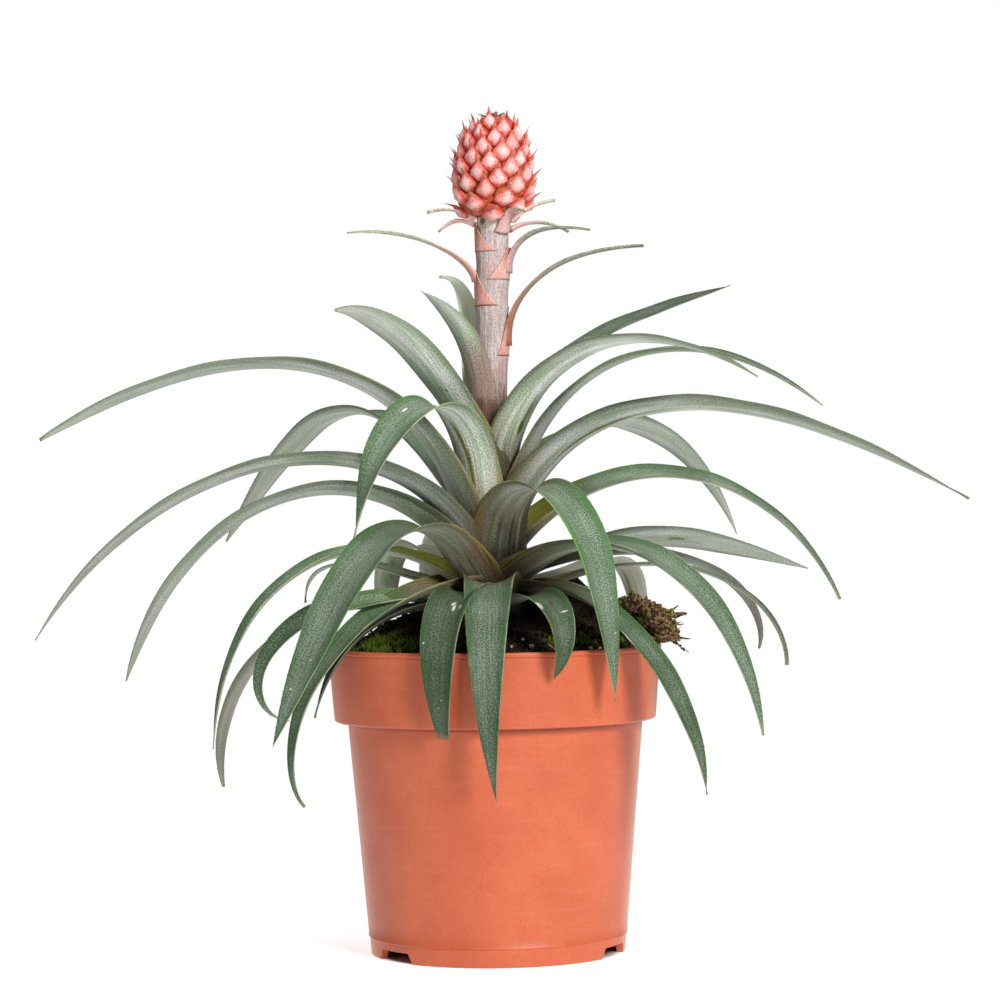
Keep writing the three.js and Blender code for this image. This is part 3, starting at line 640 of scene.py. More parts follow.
def leaf_material(name, shape, look):
    """Grey powder in grains and streaks over green, green margins, a stained base and a dry tip, with
    painted shade at the foot and painted light in each blade's lightness.
    """
    shader = Shader(name, roughness=0.55, specular=0.4)
    along, side, run, seed, upper = shader.numbers("along", "side_mm", "along_mm", "seed", "upper")
    edge = shader.math("ABSOLUTE", shader.number("across"))
    spot = shader.vector(side, run, seed)

    def streak(wide, long, low, high):
        """Noise drawn out along the blade: wide and long are how fast it changes each way."""
        place_on = shader.vector(shader.times(side, wide), shader.times(run, long), seed)
        return shader.rise(shader.noise(place_on), low, high)

    broad = streak(0.35, 0.02, 0.36, 0.64)
    streaks = streak(1.5, 0.05, 0.32, 0.68)
    threads = streak(4.0, 0.2, 0.3, 0.7)
    grain = shader.rise(shader.noise(spot, scale=2.0, detail=1.0), 0.4, 0.58)
    patches = shader.rise(shader.noise(spot, scale=0.07), 0.35, 0.65)
    middle = shader.rise(edge, 0.25, 1.0, 1.0, 0.0)

    under = shader.mix(broad, UNDER_GREEN, UNDER_POWDER)
    under = shader.fade(under, UNDER_EDGE, edge, 0.52, 1.0, 0.0, 0.85)
    dust = shader.blend((grain, 0.54), (streaks, 0.12), (threads, 0.08), (patches, 0.14), (middle, 0.16))
    under = shader.scaled(under, shader.add(dust, 0.32))
    under = shader.fade(under, UNDER_FAR, along, 0.35, 0.85, 0.0, 0.5)

    powder = shader.blend((grain, 0.42), (streaks, 0.14), (threads, 0.14), (patches, 0.1), (middle, 0.2))
    low = 1.0 - 0.75 * look["powder"]
    top = shader.fade(UPPER_GREEN, UPPER_POWDER, powder, low - 0.45, low + 0.55)
    top = shader.mix(shader.times(shader.rise(edge, 0.0, 0.08, 0.5, 0.0), streaks), top, UPPER_GREEN)
    margin = shader.rise(shader.blend((edge, 1.0), (broad, 0.16)), 0.76, 1.12, 0.0, look["margin"])
    margin = shader.times(margin, shader.rise(grain, 0.2, 1.0, 1.0, 0.55))
    top = shader.mix(margin, top, MARGIN_GREEN)
    colour = shader.mix(upper, under, top)

    warm = look["warm"]
    stain = shader.mix(broad, BASE_BROWN, BASE_OLIVE)
    stain = shader.scaled(stain, shader.blend((grain, 0.5), (threads, 0.3), (streaks, 0.6), (edge, 0.2)))
    spread = shader.add(shader.blend((streaks, 0.3), (patches, 0.3), (edge, 0.4)), 0.25)
    share = shader.times(shader.rise(run, 0.0, 14.0 + 44.0 * warm, 1.0, 0.0), spread)
    colour = shader.mix(shader.math("MULTIPLY", share, 0.5 + 0.8 * warm, clamp=True), colour, stain)
    stripes = shader.rise(streaks, 0.05, 0.4, 1.0, 0.0)
    colour = shader.mix(shader.times(stripes, shader.rise(run, 0.0, 24.0, 0.8, 0.0)), colour, BASE_DARK)

    colour = shader.mix(look["pale"], colour, shader.mix(streaks, PALE_CREAM, PALE_GREY))
    line = shader.times(shader.rise(edge, 0.95, 0.99), shader.rise(patches, 0.2, 0.8, 0.1, 0.65))
    colour = shader.mix(line, colour, shader.mix(upper, EDGE_BROWN, MARGIN_LINE))
    ragged = shader.blend((along, 1.0), (threads, 0.01))
    colour = shader.fade(colour, TIP_DRY, ragged, 0.975, 1.0, 0.0, look["dry"])
    for mark in MARKS.get(shape["name"], ()):
        colour = marked(shader, colour, side, run, shader.blend((streaks, 0.35), (grain, 0.35)), mark)
    # Painted shade: the blade darkens towards its foot, where the other blades shade it, deepest for the low
    # blades
    shade = 0.3 if shape["height"] > SHADED_BELOW else 0.06
    depth = shader.rise(run, -5.0, 14.0, shade, 1.0)
    # The leaf's lightness, partly its own tone and partly painted light and shade for how lit the blade is,
    # fading darker towards the tip
    far = shader.rise(along, 0.35, 0.9, look["light"], 0.74 * look["light"])
    colour = shader.scaled(colour, shader.times(depth, far))
    rough = shader.mix(grain, (0.42, 0.42, 0.42, 1), (0.68, 0.68, 0.68, 1))
    shader.feed(shader.surface.inputs["Roughness"], rough)
    bumps = shader.blend((broad, 0.6), (streaks, 0.4), (threads, 0.12), (grain, 0.1))
    return shader.finish(colour, bumps, 0.4, 0.4)


def marked(shader, colour, side, run, ragged, mark):
    """A smudge, speck or scar laid over the colour, at a place on the blade in millimetres."""
    at_side, at_run, half_side, half_run, tint, strength, lean = (*mark, 0.0)[:7]
    forth = shader.math("SUBTRACT", run, at_run)
    off = shader.math("SUBTRACT", side, at_side)
    off = shader.math("SUBTRACT", off, shader.times(forth, lean))
    squares = []
    for distance, half in ((off, half_side), (forth, half_run)):
        share = shader.math("ABSOLUTE", shader.math("DIVIDE", distance, half))
        squares.append((shader.math("POWER", share, 2.0), 1.0))
    total = shader.blend(*squares, (ragged, 1.0))
    tint = shader.scaled(tint, shader.add(shader.times(ragged, 1.2), 0.55))
    return shader.fade(colour, tint, total, 0.55, 1.35, strength, 0.0)


OLIVE_STAIN = srgb(104, 98, 28)
BLOTCH_GREEN = srgb(60, 82, 22)
BROWN_STAIN = srgb(96, 62, 44)
SHEATH_PURPLE = srgb(140, 112, 102)
SHEATH_BROWN = srgb(82, 56, 42)
# White of scars and scratches, also laid on as a painted highlight
WHITE_SCAR = srgb(240, 236, 230)
TAN_SPECK = srgb(214, 184, 148)
DARK_SPECK = srgb(34, 30, 22)
YELLOW_OLIVE = srgb(100, 100, 30)
YELLOW_DOT = srgb(206, 200, 110)
BRIGHT_GREEN = srgb(86, 140, 44)
DEEP_GREEN = srgb(58, 80, 48)

# Marks on single leaves, stains and scars and one painted highlight: place across and along the blade, half
# sizes, colour, strength and lean

MARKS = {
    "short_left": (
        (0.5, 22, 10, 20, SHEATH_PURPLE, 0.8), (1, 12.5, 10, 6, SHEATH_BROWN, 0.8),
        (1, 2, 10, 9, SHEATH_PURPLE, 0.7),
    ),
    "upper_left": ((1.7, 31.3, 0.6, 0.6, DARK_SPECK, 0.9),),
    "upper_right": (
        (1.6, 17, 1.5, 4.6, BLOTCH_GREEN, 1), (2, 23.5, 1.4, 6.5, OLIVE_STAIN, 0.85),
        (1.2, 30, 0.5, 2, OLIVE_STAIN, 0.5), (6.2, 18, 1.6, 26, UNDER_POWDER, 0.7),
        (5.9, 47.7, 0.5, 0.5, DARK_SPECK, 0.8),
    ),
    "right_long": (
        (-0.8, 52, 0.9, 34, OLIVE_STAIN, 1), (0.2, 58, 0.6, 10, OLIVE_STAIN, 0.8),
    ),
    "front_left_arched": (
        (-1.6, 37, 1.2, 13, OLIVE_STAIN, 0.95, -0.12), (0.2, 22, 1, 15, OLIVE_STAIN, 0.9),
        (2, 27, 0.35, 15, BROWN_STAIN, 0.5), (-3.6, 72.4, 0.6, 1.8, WHITE_SCAR, 0.95),
    ),
    "left_long_low": ((9.4, 38, 4, 22, DEEP_GREEN, 0.8),),
    "front_right_arched": (
        (2.6, 15, 0.8, 11, BASE_DARK, 0.6), (-2.1, 13, 0.9, 11, BASE_DARK, 0.55),
        (-5.2, 15, 0.9, 10, OLIVE_STAIN, 0.7), (6, 15, 0.9, 13, UNDER_POWDER, 0.6),
        (-8.6, 76, 2.2, 20, BRIGHT_GREEN, 0.8), (-5, 73.7, 0.4, 0.4, YELLOW_DOT, 0.9),
        (-7, 84.4, 0.4, 0.4, YELLOW_DOT, 0.9), (4.2, 94.1, 0.4, 0.4, YELLOW_DOT, 0.9),
        (3.6, 106, 0.4, 0.4, YELLOW_DOT, 0.9),
    ),
    "right_mid": ((7, 18, 6.5, 26, YELLOW_OLIVE, 1),),
    "back_left_hanging_low": ((0.5, 52.4, 3, 7, BRIGHT_GREEN, 0.5),),
    "back_right_hanging": ((1.6, 67, 0.9, 11, BRIGHT_GREEN, 0.85),),
    "right_back_pale": ((-0.8, 68.8, 0.8, 5, BROWN_STAIN, 0.8),),
    "right_dark": ((6, 24, 5, 30, YELLOW_OLIVE, 0.6),),
    "front_left_broad": (
        (4.8, 12, 0.6, 10, BASE_DARK, 0.5), (0.8, 14, 0.6, 9, OLIVE_STAIN, 0.6),
        (1.1, 118.9, 0.6, 0.6, TAN_SPECK, 0.9), (-1.6, 131.1, 0.6, 0.6, TAN_SPECK, 0.9),
    ),
    "left_folded": ((7.6, 20, 4, 22, YELLOW_OLIVE, 0.95),),
    # A painted highlight along this blade
    "front_right_low": ((-5.6, 58.5, 0.6, 5, WHITE_SCAR, 0.8),),
    "front_left_cut": (
        (1.5, 43.6, 1.3, 1.3, WHITE_SCAR, 1), (2.3, 46.2, 0.9, 2.3, WHITE_SCAR, 1),
        (4.9, 46.4, 0.7, 1.4, YELLOW_DOT, 0.9), (-6, 60.8, 0.4, 0.5, WHITE_SCAR, 0.7),
        (0.7, 80.1, 0.4, 0.4, TAN_SPECK, 0.8), (-0.7, 82.9, 0.4, 0.4, TAN_SPECK, 0.8),
    ),
    "front_right_short": (
        (-1, 52.5, 0.6, 6.5, BROWN_STAIN, 0.75, -0.35), (2.3, 56.5, 1.7, 0.35, WHITE_SCAR, 1),
        (-5.4, 51.5, 1.4, 3, WHITE_SCAR, 0.8), (-4.4, 61.5, 0.8, 3.6, YELLOW_OLIVE, 0.8),
    ),
}


def leaves():
    for index, shape in enumerate(LEAVES):
        name = "leaf_" + shape["name"]
        material = leaf_material(name, shape, look_of(shape["name"]))
        steps = max(LEAST_STEPS, int(shape["length"] / STEP_LENGTH))
        place(blade(name, shape, material, steps, LEAF_COLUMNS, seed=index + 1), "leaf", name)


def bract_material(name, rusty, light):
    """Thin pink or rust foot that turns green and powdered, with a dry tip, scaled by a lightness that
    partly paints in light and shade.
    """
    shader = Shader(name, roughness=0.6, specular=0.35)
    along, side, run, seed, upper = shader.numbers("along", "side_mm", "along_mm", "seed", "upper")
    threads = shader.noise(shader.vector(shader.times(side, 3.5), shader.times(run, 0.2), seed))
    grain = shader.noise(shader.vector(side, run, seed), scale=2.6, detail=2.0)
    dust = shader.rise(shader.add(threads, grain), 0.7, 1.3)
    green = shader.mix(dust, srgb(118, 132, 92), srgb(208, 204, 194))
    top = shader.mix(dust, srgb(96, 132, 72), srgb(160, 176, 142))
    pink = shader.mix(dust, srgb(206, 140, 128), srgb(232, 206, 206))
    rust = shader.mix(dust, srgb(156, 88, 52), srgb(206, 146, 116))
    blade_colour = shader.mix(upper, green, top)
    colour = shader.fade(shader.mix(rusty, pink, rust), blade_colour, run, 4.0, 18.0 + 24.0 * rusty)
    colour = shader.fade(colour, srgb(150, 128, 100), along, 0.9, 1.0)
    # The lightness is partly the bract's own tone and partly painted light and shade
    return shader.finish(shader.scaled(colour, light), threads, 0.3, 0.25)


BRACT_RUST = {"left_long": 0.5, "right_lower": 1.0}
# Scale on each bract's colour: partly its own tone, partly painted light and shade for how lit it is
BRACT_LIGHT = {
    "left_long": 1.4,
    "left_curled": 1.4,
    "left_under_fruit": 1.3,
    "right_tiny": 1.5,
    "right_back": 1.15,
    "right_upper": 0.8,
    "right_lower": 0.85,
}


def bracts():
    for index, shape in enumerate(BRACTS):
        rusty = BRACT_RUST.get(shape["name"], 0.0)
        material = bract_material("bract_skin", rusty, BRACT_LIGHT.get(shape["name"], 1.0))
        name = "bract_" + shape["name"]
        piece = blade(name, shape, material, BRACT_STEPS, BRACT_COLUMNS, seed=100 + index, spines=False)
        place(piece, "bract", name)


# Stalk and stem

def stalk_skin(build, sides=96):
    """Turned skin with fine ribs, and a small step under each sheath."""
    heights = list(np.arange(STEM_FOOT, STALK_TOP, 0.7)) + [STALK_TOP]
    for sheath_foot in SHEATH_HEIGHTS:
        heights += [sheath_foot - 0.02, sheath_foot + 0.12]
    heights = np.array(sorted(heights))
    radii = stem_radius(heights)
    for sheath_foot in SHEATH_HEIGHTS:
        reach = np.clip(1 - (sheath_foot - heights) / 7.0, 0, 1)
        radii = radii + np.where(heights <= sheath_foot, SHEATH_STEP * reach ** 2, 0)
    turn = full_turn(sides)
    ribs = 0.07 * np.cos(turn * 31) + 0.05 * np.cos(turn * 17 + 1.0)
    rings = []
    for height, radius in zip(heights, radii):
        share = np.clip((height - STALK_START) / 20, 0, 1)
        rings.append(ring(radius + ribs * share, height, turn, axis_offset(height)))
    build.tube(rings)


# A brown scar on the pale collar under the fruit

COLLAR_SCAR = (-2.6, -4.8, 261.6)


def stalk_material():
    """Pale powder with a pink blush over a brown foot that is painted near black in the shade low down, and
    a nearly white collar painted lighter still against its shade.
    """
    shader = Shader("stalk_skin", roughness=0.7, specular=0.3)
    spot = shader.position()
    height = shader.height(spot)
    threads = shader.noise(shader.stretched(spot, (1.0, 1.0, 0.12)), scale=1.5)
    grain = shader.noise(spot, scale=1.9, detail=2.0)
    dust = shader.rise(shader.add(threads, grain), 0.75, 1.25)
    powder = shader.mix(dust, srgb(172, 148, 144), srgb(214, 204, 202))
    blush = shader.noise(spot, scale=0.12, detail=2.0)
    powder = shader.fade(powder, srgb(214, 160, 150), blush, 0.5, 0.72, 0.0, 0.55)
    brown = shader.mix(dust, srgb(62, 40, 30), srgb(142, 112, 98))
    colour = shader.fade(brown, powder, shader.add(height, shader.times(threads, 14.0)), 196, 222)
    # Nearly white collar, partly its own pale colour and partly painted light against the shade under the
    # fruit
    pale = shader.mix(dust, srgb(220, 224, 196), srgb(252, 252, 244))
    colour = shader.fade(colour, pale, height, 257, 262)
    scar = shader.node("ShaderNodeVectorMath", spot, COLLAR_SCAR, operation="DISTANCE", output="Value")
    colour = shader.fade(colour, srgb(96, 62, 40), scar, 1.0, 2.2, 0.85, 0.0)
    # Painted shade: the stem turns near black low down among the leaf bases
    colour = shader.fade(srgb(24, 17, 10), colour, height, 124, 136)
    return shader.finish(colour, shader.add(threads, grain), 0.35, 0.3)


def stalk():
    build = Build()
    stalk_skin(build)
    place(build.object("stem_and_stalk_skin", stalk_material()), "stalk", "stem_and_stalk")


# Sheaths that wrap the stalk under the long bracts: azimuth, heights of foot and top, half angles there

SHEATHS = (
    ("sheath_left_top", -96, 250.6, 260.5, 114, 26),
    ("sheath_right_upper", 80, 240.4, 252.0, 100, 24),
    ("sheath_left_long", -92, 231.2, 244.0, 116, 26),
    ("sheath_right_lower", 84, 213.2, 227.0, 64, 26),
)


def sheath(azimuth, low, high, wide, narrow, rows=26, columns=41):
    """A thin wrap on the stalk, wide at its foot and drawn up to where the bract leaves it."""
    rise = np.linspace(0, 1, rows)
    surfaces = []
    for lift in (0.62, 0.25):
        rings = []
        for share in rise:
            height = low + (high - low) * share
            spread = wide + (narrow - wide) * share ** 0.75
            turn = np.radians(azimuth + np.linspace(-spread, spread, columns))
            radius = stem_radius(height) + lift + 0.35 * share
            rings.append(ring(radius, height, turn, axis_offset(height)))
        surfaces.append(rings)
    build = Build("rise", "edge")
    build.sheet(surfaces, rise=rise[:, None], edge=np.abs(np.linspace(-1, 1, columns)))
    return build


def sheath_material():
    """Pink and powdered, deeper towards the top, with a browned foot and a pale edge."""
    shader = Shader("sheath_skin", roughness=0.6, specular=0.35)
    spot = shader.position()
    rise, edge = shader.numbers("rise", "edge")
    threads = shader.noise(shader.stretched(spot, (1.0, 1.0, 0.15)), scale=1.6)
    grain = shader.noise(spot, scale=2.2, detail=2.0)
    dust = shader.rise(shader.add(threads, grain), 0.7, 1.25)
    pink = shader.mix(dust, srgb(214, 130, 112), srgb(238, 194, 184))
    deep = shader.mix(dust, srgb(176, 92, 72), srgb(210, 140, 122))
    colour = shader.fade(pink, deep, rise, 0.25, 0.95)
    colour = shader.fade(colour, srgb(150, 96, 78), rise, 0.0, 0.07, 0.75, 0.0)
    colour = shader.fade(colour, srgb(232, 206, 196), edge, 0.93, 1.0, 0.0, 0.5)
    return shader.finish(colour, threads, 0.3, 0.25)


def sheaths():
    material = sheath_material()
    for name, *sizes in SHEATHS:
        place(sheath(*sizes).object(name, material), "bract")


# Fruit

def fruit_radius(share):
    return ramp(FRUIT_PROFILE, share)


def fruitlet_places():
    """The CAD fruit's spiral: smaller and closer fruitlets towards the top."""
    height = FRUIT_TOP - FRUIT_BOTTOM
    slices = 200
    counts = [0.0]
    for piece in range(1, slices + 1):
        share = (piece - 0.5) / slices
        counts.append(counts[-1] + fruit_radius(share) / fruitlet_size(share) ** 2)
    places = []
    piece = 1
    for index in range(FRUIT_EYES):
        wanted = counts[slices] * (index + 0.6) / FRUIT_EYES
        while counts[piece] < wanted:
            piece += 1
        share = 0.02 + 0.93 * (piece - 0.5) / slices
        slope = (fruit_radius(share + 0.01) - fruit_radius(share - 0.01)) / (0.02 * height)
        places.append((index * GOLDEN_ANGLE, fruit_radius(share), slope, FRUIT_BOTTOM + share * height,
                       fruitlet_size(share), share))
    return places


def fruitlet_size(share):
    return FRUITLET_WIDTH_LOW + (FRUITLET_WIDTH_HIGH - FRUITLET_WIDTH_LOW) * share ** 1.4


# Half-width of a fruit scale along its length, from its foot to the tip of its spine

SCALE_REACH = (0.0, 0.1, 0.24, 0.38, 0.52, 0.64, 0.8, 1.0)
SCALE_WIDTH = (0.22, 0.7, 1.12, 0.98, 0.6, 0.36, 0.2, 0.03)
SCALE_NECK = 0.62


def fruitlet(build, place_at, rng, rings=5, spokes=18):
    """A low six-sided cushion that carries one pointed scale."""
    azimuth, radius, slope, height, size, share = place_at
    out = heading(azimuth)
    normal = unit(out + np.array([0, 0, -slope]))
    side = np.array([-out[1], out[0], 0.0])
    up = np.cross(side, normal)
    if up[2] < 0:
        up = -up
    centre = out * radius + np.array([axis_offset(height), 0, height])
    half = size / 2 * FRUITLET_SPREAD
    tall = 0.94 + 0.24 * share
    angle = full_turn(spokes)
    hexed = 1 / np.cos((angle + np.pi / 6) % (np.pi / 3) - np.pi / 6)
    rows = []
    edges = []
    for reach in np.linspace(0, 1, rings):
        x = np.sin(angle) * hexed * reach
        y = np.cos(angle) * hexed * reach * tall
        lift = 1.3 * (1 - reach ** 2.2) - 0.7 * reach ** 5
        rows.append(centre + np.outer(x * half, side) + np.outer(y * half, up) + lift * normal)
        edges += [0.8 + 0.28 * reach] * spokes
    faces = grid_faces(rings, spokes, closed=True)
    faces.append(tuple(range((rings - 1) * spokes, rings * spokes)))
    build.add(rows, faces, rim=edges, high=share, tone=rng.random())
    pointed_scale(build, centre, (side, up, normal), half, tall, share, rng)


def pointed_scale(build, centre, ways, half, tall, share, rng, rows=20, sides=16):
    """A keeled scale with hollow flanks that is drawn out into a slender spine."""
    side, up, normal = ways
    lean = (rng.random() - 0.5) * 0.8
    length = (3.3 + 1.5 * rng.random()) * (1 - 0.55 * share ** 3)
    plump = (0.8 + 0.4 * rng.random()) * (1 - 0.2 * share)
    broad = 0.9 + 0.25 * rng.random()
    turn = full_turn(sides)
    across = np.cos(turn)
    keel = 0.5 * (1 - np.abs(across) ** 1.4) + 0.12 * np.exp(-(across / 0.2) ** 2)
    front = np.where(np.sin(turn) > 0, keel, 0.4 * np.sin(turn))
    points = []
    rims = []
    for reach in np.linspace(0, 1, rows):
        width = half * 0.98 * broad * np.interp(reach, SCALE_REACH, SCALE_WIDTH)
        drawn = max(0.0, (reach - SCALE_NECK) / (1 - SCALE_NECK))
        climb = half * tall * np.interp(reach, (0.0, SCALE_NECK), (-1.08, 0.86)) + length * 0.72 * drawn
        lift = 0.5 + plump * np.interp(reach, (0.0, 0.25, SCALE_NECK), (-0.3, 1.0, 2.1))
        lift += length * 0.7 * drawn
        middle = centre + up * climb + side * half * lean * max(0.0, reach - 0.2) + normal * lift
        points.append(middle + np.outer(width * across, side) + np.outer(width * front * plump, normal))
        foot = 0.4 * max(0.0, 1 - reach / 0.2)
        tip = np.interp(reach, (0.36, 0.56, 0.7, 0.84, 1.0), (0.0, 0.16, 0.5, 0.85, 1.7))
        rims.append(0.46 + 0.46 * np.abs(across) ** 2.5 + foot + tip)
    build.tube(points, rim=np.concatenate(rims), high=share, tone=rng.random())


def fruit_core(build, rows=40, sides=64):
    """A smooth body that shows only in the gaps between the fruitlets."""
    shares = np.linspace(0, 1, rows)
    rings = []
    for share in shares:
        height = FRUIT_BOTTOM + share * (FRUIT_TOP - FRUIT_BOTTOM)
        rings.append(ring(fruit_radius(share) - 0.1, height, full_turn(sides), axis_offset(height)))
    build.tube(rings, rim=1.0, high=np.repeat(shares, sides))


def fruit_material():
    """Light pink crowns, partly a painted highlight, salmon flanks, red creases, olive in the depths and
    brown spines.
    """
    shader = Shader("fruit_skin", roughness=0.5, specular=0.4)
    spot = shader.position()
    rim, tone, high = shader.numbers("rim", "tone", "high")
    blotch = shader.noise(spot, scale=0.5)
    grain = shader.noise(spot, scale=2.0)
    off = shader.add(shader.math("SUBTRACT", blotch, 0.5), shader.math("SUBTRACT", grain, 0.5))
    wavy = shader.add(rim, shader.times(off, 0.7))
    # Pale crowns, partly their own light pink and partly a painted highlight where they face the light
    light = shader.mix(tone, srgb(255, 216, 214), srgb(244, 180, 178))
    colour = shader.fade(light, srgb(238, 118, 102), wavy, 0.44, 0.76)
    colour = shader.fade(colour, srgb(212, 44, 28), wavy, 0.7, 0.92)
    olive = shader.times(shader.rise(wavy, 0.9, 1.12), shader.rise(high, 0.2, 0.8, 0.8, 0.3))
    colour = shader.mix(olive, colour, srgb(168, 122, 36))
    colour = shader.fade(colour, srgb(252, 214, 206), grain, 0.45, 0.75, 0.0, 0.35)
    colour = shader.fade(colour, srgb(214, 122, 104), rim, 1.0, 1.3)
    colour = shader.fade(colour, srgb(128, 92, 76), rim, 1.35, 1.9)
    shader.surface.inputs["Subsurface Weight"].default_value = 0.12
    shader.surface.inputs["Subsurface Radius"].default_value = (1.0, 0.35, 0.25)
    shader.surface.inputs["Subsurface Scale"].default_value = 0.0015
    return shader.finish(colour, shader.add(blotch, grain), 0.25, 0.25)


def fruit():
    build = Build("rim", "high", "tone")
    rng = random.Random(5)
    fruit_core(build)
    for place_at in fruitlet_places():
        fruitlet(build, place_at, rng)
    place(build.object("fruit_skin", fruit_material()), "fruit", "fruit")


TUFT_LEAFLETS = 13


def tuft_material():
    """Dry grey-brown leaflets, olive at the foot and darker at the tip."""
    shader = Shader("tuft_skin", roughness=0.7, specular=0.3)
    along = shader.number("along")
    grain = shader.noise(shader.position(), scale=1.4)
    colour = shader.fade(srgb(128, 116, 96), srgb(184, 172, 152), grain, 0.35, 0.7)
    colour = shader.fade(colour, srgb(124, 116, 62), along, 0.0, 0.5, 0.7, 0.0)
    return shader.finish(shader.fade(colour, srgb(104, 76, 58), along, 0.7, 1.0), grain, 0.3, 0.3)


def tuft():
    """Tiny leaflets that fan out of the top of the fruit."""
    build = Build("along")
    for index in range(TUFT_LEAFLETS):
        inner = index / (TUFT_LEAFLETS - 1)
        azimuth = index * GOLDEN_ANGLE
        lift = (34 + 46 * inner, 2 + 55 * inner)
        shape = leaf("leaflet", azimuth, FRUIT_TOP - 0.2, 3.9 - 1.3 * inner, 2.0, lift, (0.5, 1.2))
        along, points, _, side, up = midrib(shape, steps=8)
        points = points + heading(azimuth) * (2.4 * (1 - inner) + 0.3 - base_of(shape))
        forth = along[:, None]
        width = shape["width"] / 2 * (1 - forth ** 1.8) + 0.12
        columns = np.linspace(-1, 1, 5)
        cup = 0.35 * columns ** 2 * width
        surfaces = []
        for face in (0.22, -0.22):
            lifted = cup + face * (1 - 0.7 * forth)
            surfaces.append(sheet_points(points, side, up, columns * width, lifted))
        build.sheet(surfaces, along=forth)
    place(build.object("fruit_tuft_leaflets", tuft_material()), "tuft", "fruit_tuft")


# Pot

def pot_inner_radius(height):
    """Radius of the wall's inner face."""
    outer = ((POT_FLOOR_TOP, FOOT_RADIUS + 0.5), (RIM_FOOT - 1.5, BODY_RADIUS),
             (RIM_FOOT + 1.2, RIM_LOWER_RADIUS), (POT_HEIGHT, RIM_RADIUS - 0.3))
    return ramp(outer, height) - POT_WALL


def arc(radius, height, reach, rise, start, end, count):
    """Radius and height pairs on an arc about a centre, between two angles in degrees."""
    angles = np.radians(np.linspace(start, end, count))
    return [(radius + reach * np.cos(angle), height + rise * np.sin(angle)) for angle in angles]


def straight(start, end, first, count):
    """Radius and height pairs on a line from start to end, beginning at a share of it."""
    shares = np.linspace(first, 1, count)
    return [tuple(a + (b - a) * share for a, b in zip(start, end)) for share in shares]


def pot_profile():
    """Radius and height pairs round the wall, from under the floor to the floor inside."""
    foot_inner = FOOT_RADIUS - FOOT_RING_WIDTH
    lip = POT_HEIGHT - RIM_LIP_HEIGHT
    inner = pot_inner_radius(POT_HEIGHT)
    profile = [
        (0, POT_FLOOR_UNDERSIDE), (foot_inner, POT_FLOOR_UNDERSIDE), (foot_inner, 0.3),
        (foot_inner + 0.3, 0), (FOOT_RADIUS - 0.35, 0), (FOOT_RADIUS - 0.1, 0.12), (FOOT_RADIUS, 0.4),
        (FOOT_RADIUS + 0.5, SEAM_HEIGHT - 0.35), (FOOT_RADIUS + 0.95, SEAM_HEIGHT - 0.1),
        (FOOT_RADIUS + 0.95, SEAM_HEIGHT + 0.15), (FOOT_RADIUS + 0.8, SEAM_HEIGHT + 0.4),
    ]
    profile += straight((FOOT_RADIUS + 0.8, SEAM_HEIGHT + 0.4), (BODY_RADIUS, RIM_FOOT - 0.5), 0.06, 16)
    profile += arc(BODY_RADIUS + 0.5, RIM_FOOT - 0.5, -0.5, 0.5, 0, 90, 6)
    profile += arc(RIM_LOWER_RADIUS - RIM_CORNER, RIM_FOOT + RIM_CORNER, RIM_CORNER, RIM_CORNER, -90, 0, 8)
    profile += straight((RIM_LOWER_RADIUS, RIM_FOOT + RIM_CORNER), (RIM_RADIUS - 0.45, lip - 0.5), 0.15, 8)
    profile += [(RIM_RADIUS - inset, lip + up) for inset, up in ((0.62, -0.25), (0.5, -0.02), (0.1, 0.15))]
    profile += arc((RIM_RADIUS + inner) / 2, POT_HEIGHT - 0.7, (RIM_RADIUS - inner) / 2, 0.7, 0, 180, 10)
    for height in (100, 92, RIM_FOOT + 1.2, RIM_FOOT - 1.5, 60, 30, POT_FLOOR_TOP + 1.5):
        profile.append((pot_inner_radius(height), height))
    return profile + [(pot_inner_radius(POT_FLOOR_TOP) - 1.5, POT_FLOOR_TOP), (0, POT_FLOOR_TOP)]


def turned(build, profile, sides):
    """A body turned about the upright axis, from pairs that start and end on the axis."""
    turn = full_turn(sides)
    inner = profile[1:-1]
    rings = [ring(radius, height, turn) for radius, height in inner]
    ends = [[[0, 0, profile[0][1]], [0, 0, profile[-1][1]]]]
    faces = grid_faces(len(inner), sides, closed=True)
    first = len(inner) * sides
    last = first - sides
    for side in range(sides):
        after = (side + 1) % sides
        faces.append((first, after, side))
        faces.append((first + 1, last + side, last + after))
    build.add(np.concatenate(rings + ends), faces)


def wedge_cutter(azimuth):
    """A block that cuts one notch into the foot."""
    inner = FOOT_RADIUS - FOOT_RING_WIDTH - 2
    outer = FOOT_RADIUS + 2
    points = []
    for height, half in ((-1, NOTCH_HALF_ANGLE_LOW), (NOTCH_HEIGHT, NOTCH_HALF_ANGLE_HIGH)):
        for side in (-1, 1):
            way = heading(azimuth + side * half)
            points += [way * inner + [0, 0, height], way * outer + [0, 0, height]]
    build = Build()
    build.add(points, [(0, 1, 3, 2), (4, 6, 7, 5), (0, 4, 5, 1), (2, 3, 7, 6), (1, 5, 7, 3), (0, 2, 6, 4)])
    return build


def hole_cutter(index):
    """A round rod that cuts one drain hole into the floor."""
    way = heading(index * 360 / DRAIN_HOLE_COUNT + 30) * DRAIN_HOLE_DISTANCE
    build = Build()
    turned(build, [(0, 1), (DRAIN_HOLE_RADIUS, 1), (DRAIN_HOLE_RADIUS, 8), (0, 8)], sides=32)
    build.points[0] = build.points[0] + way
    return build


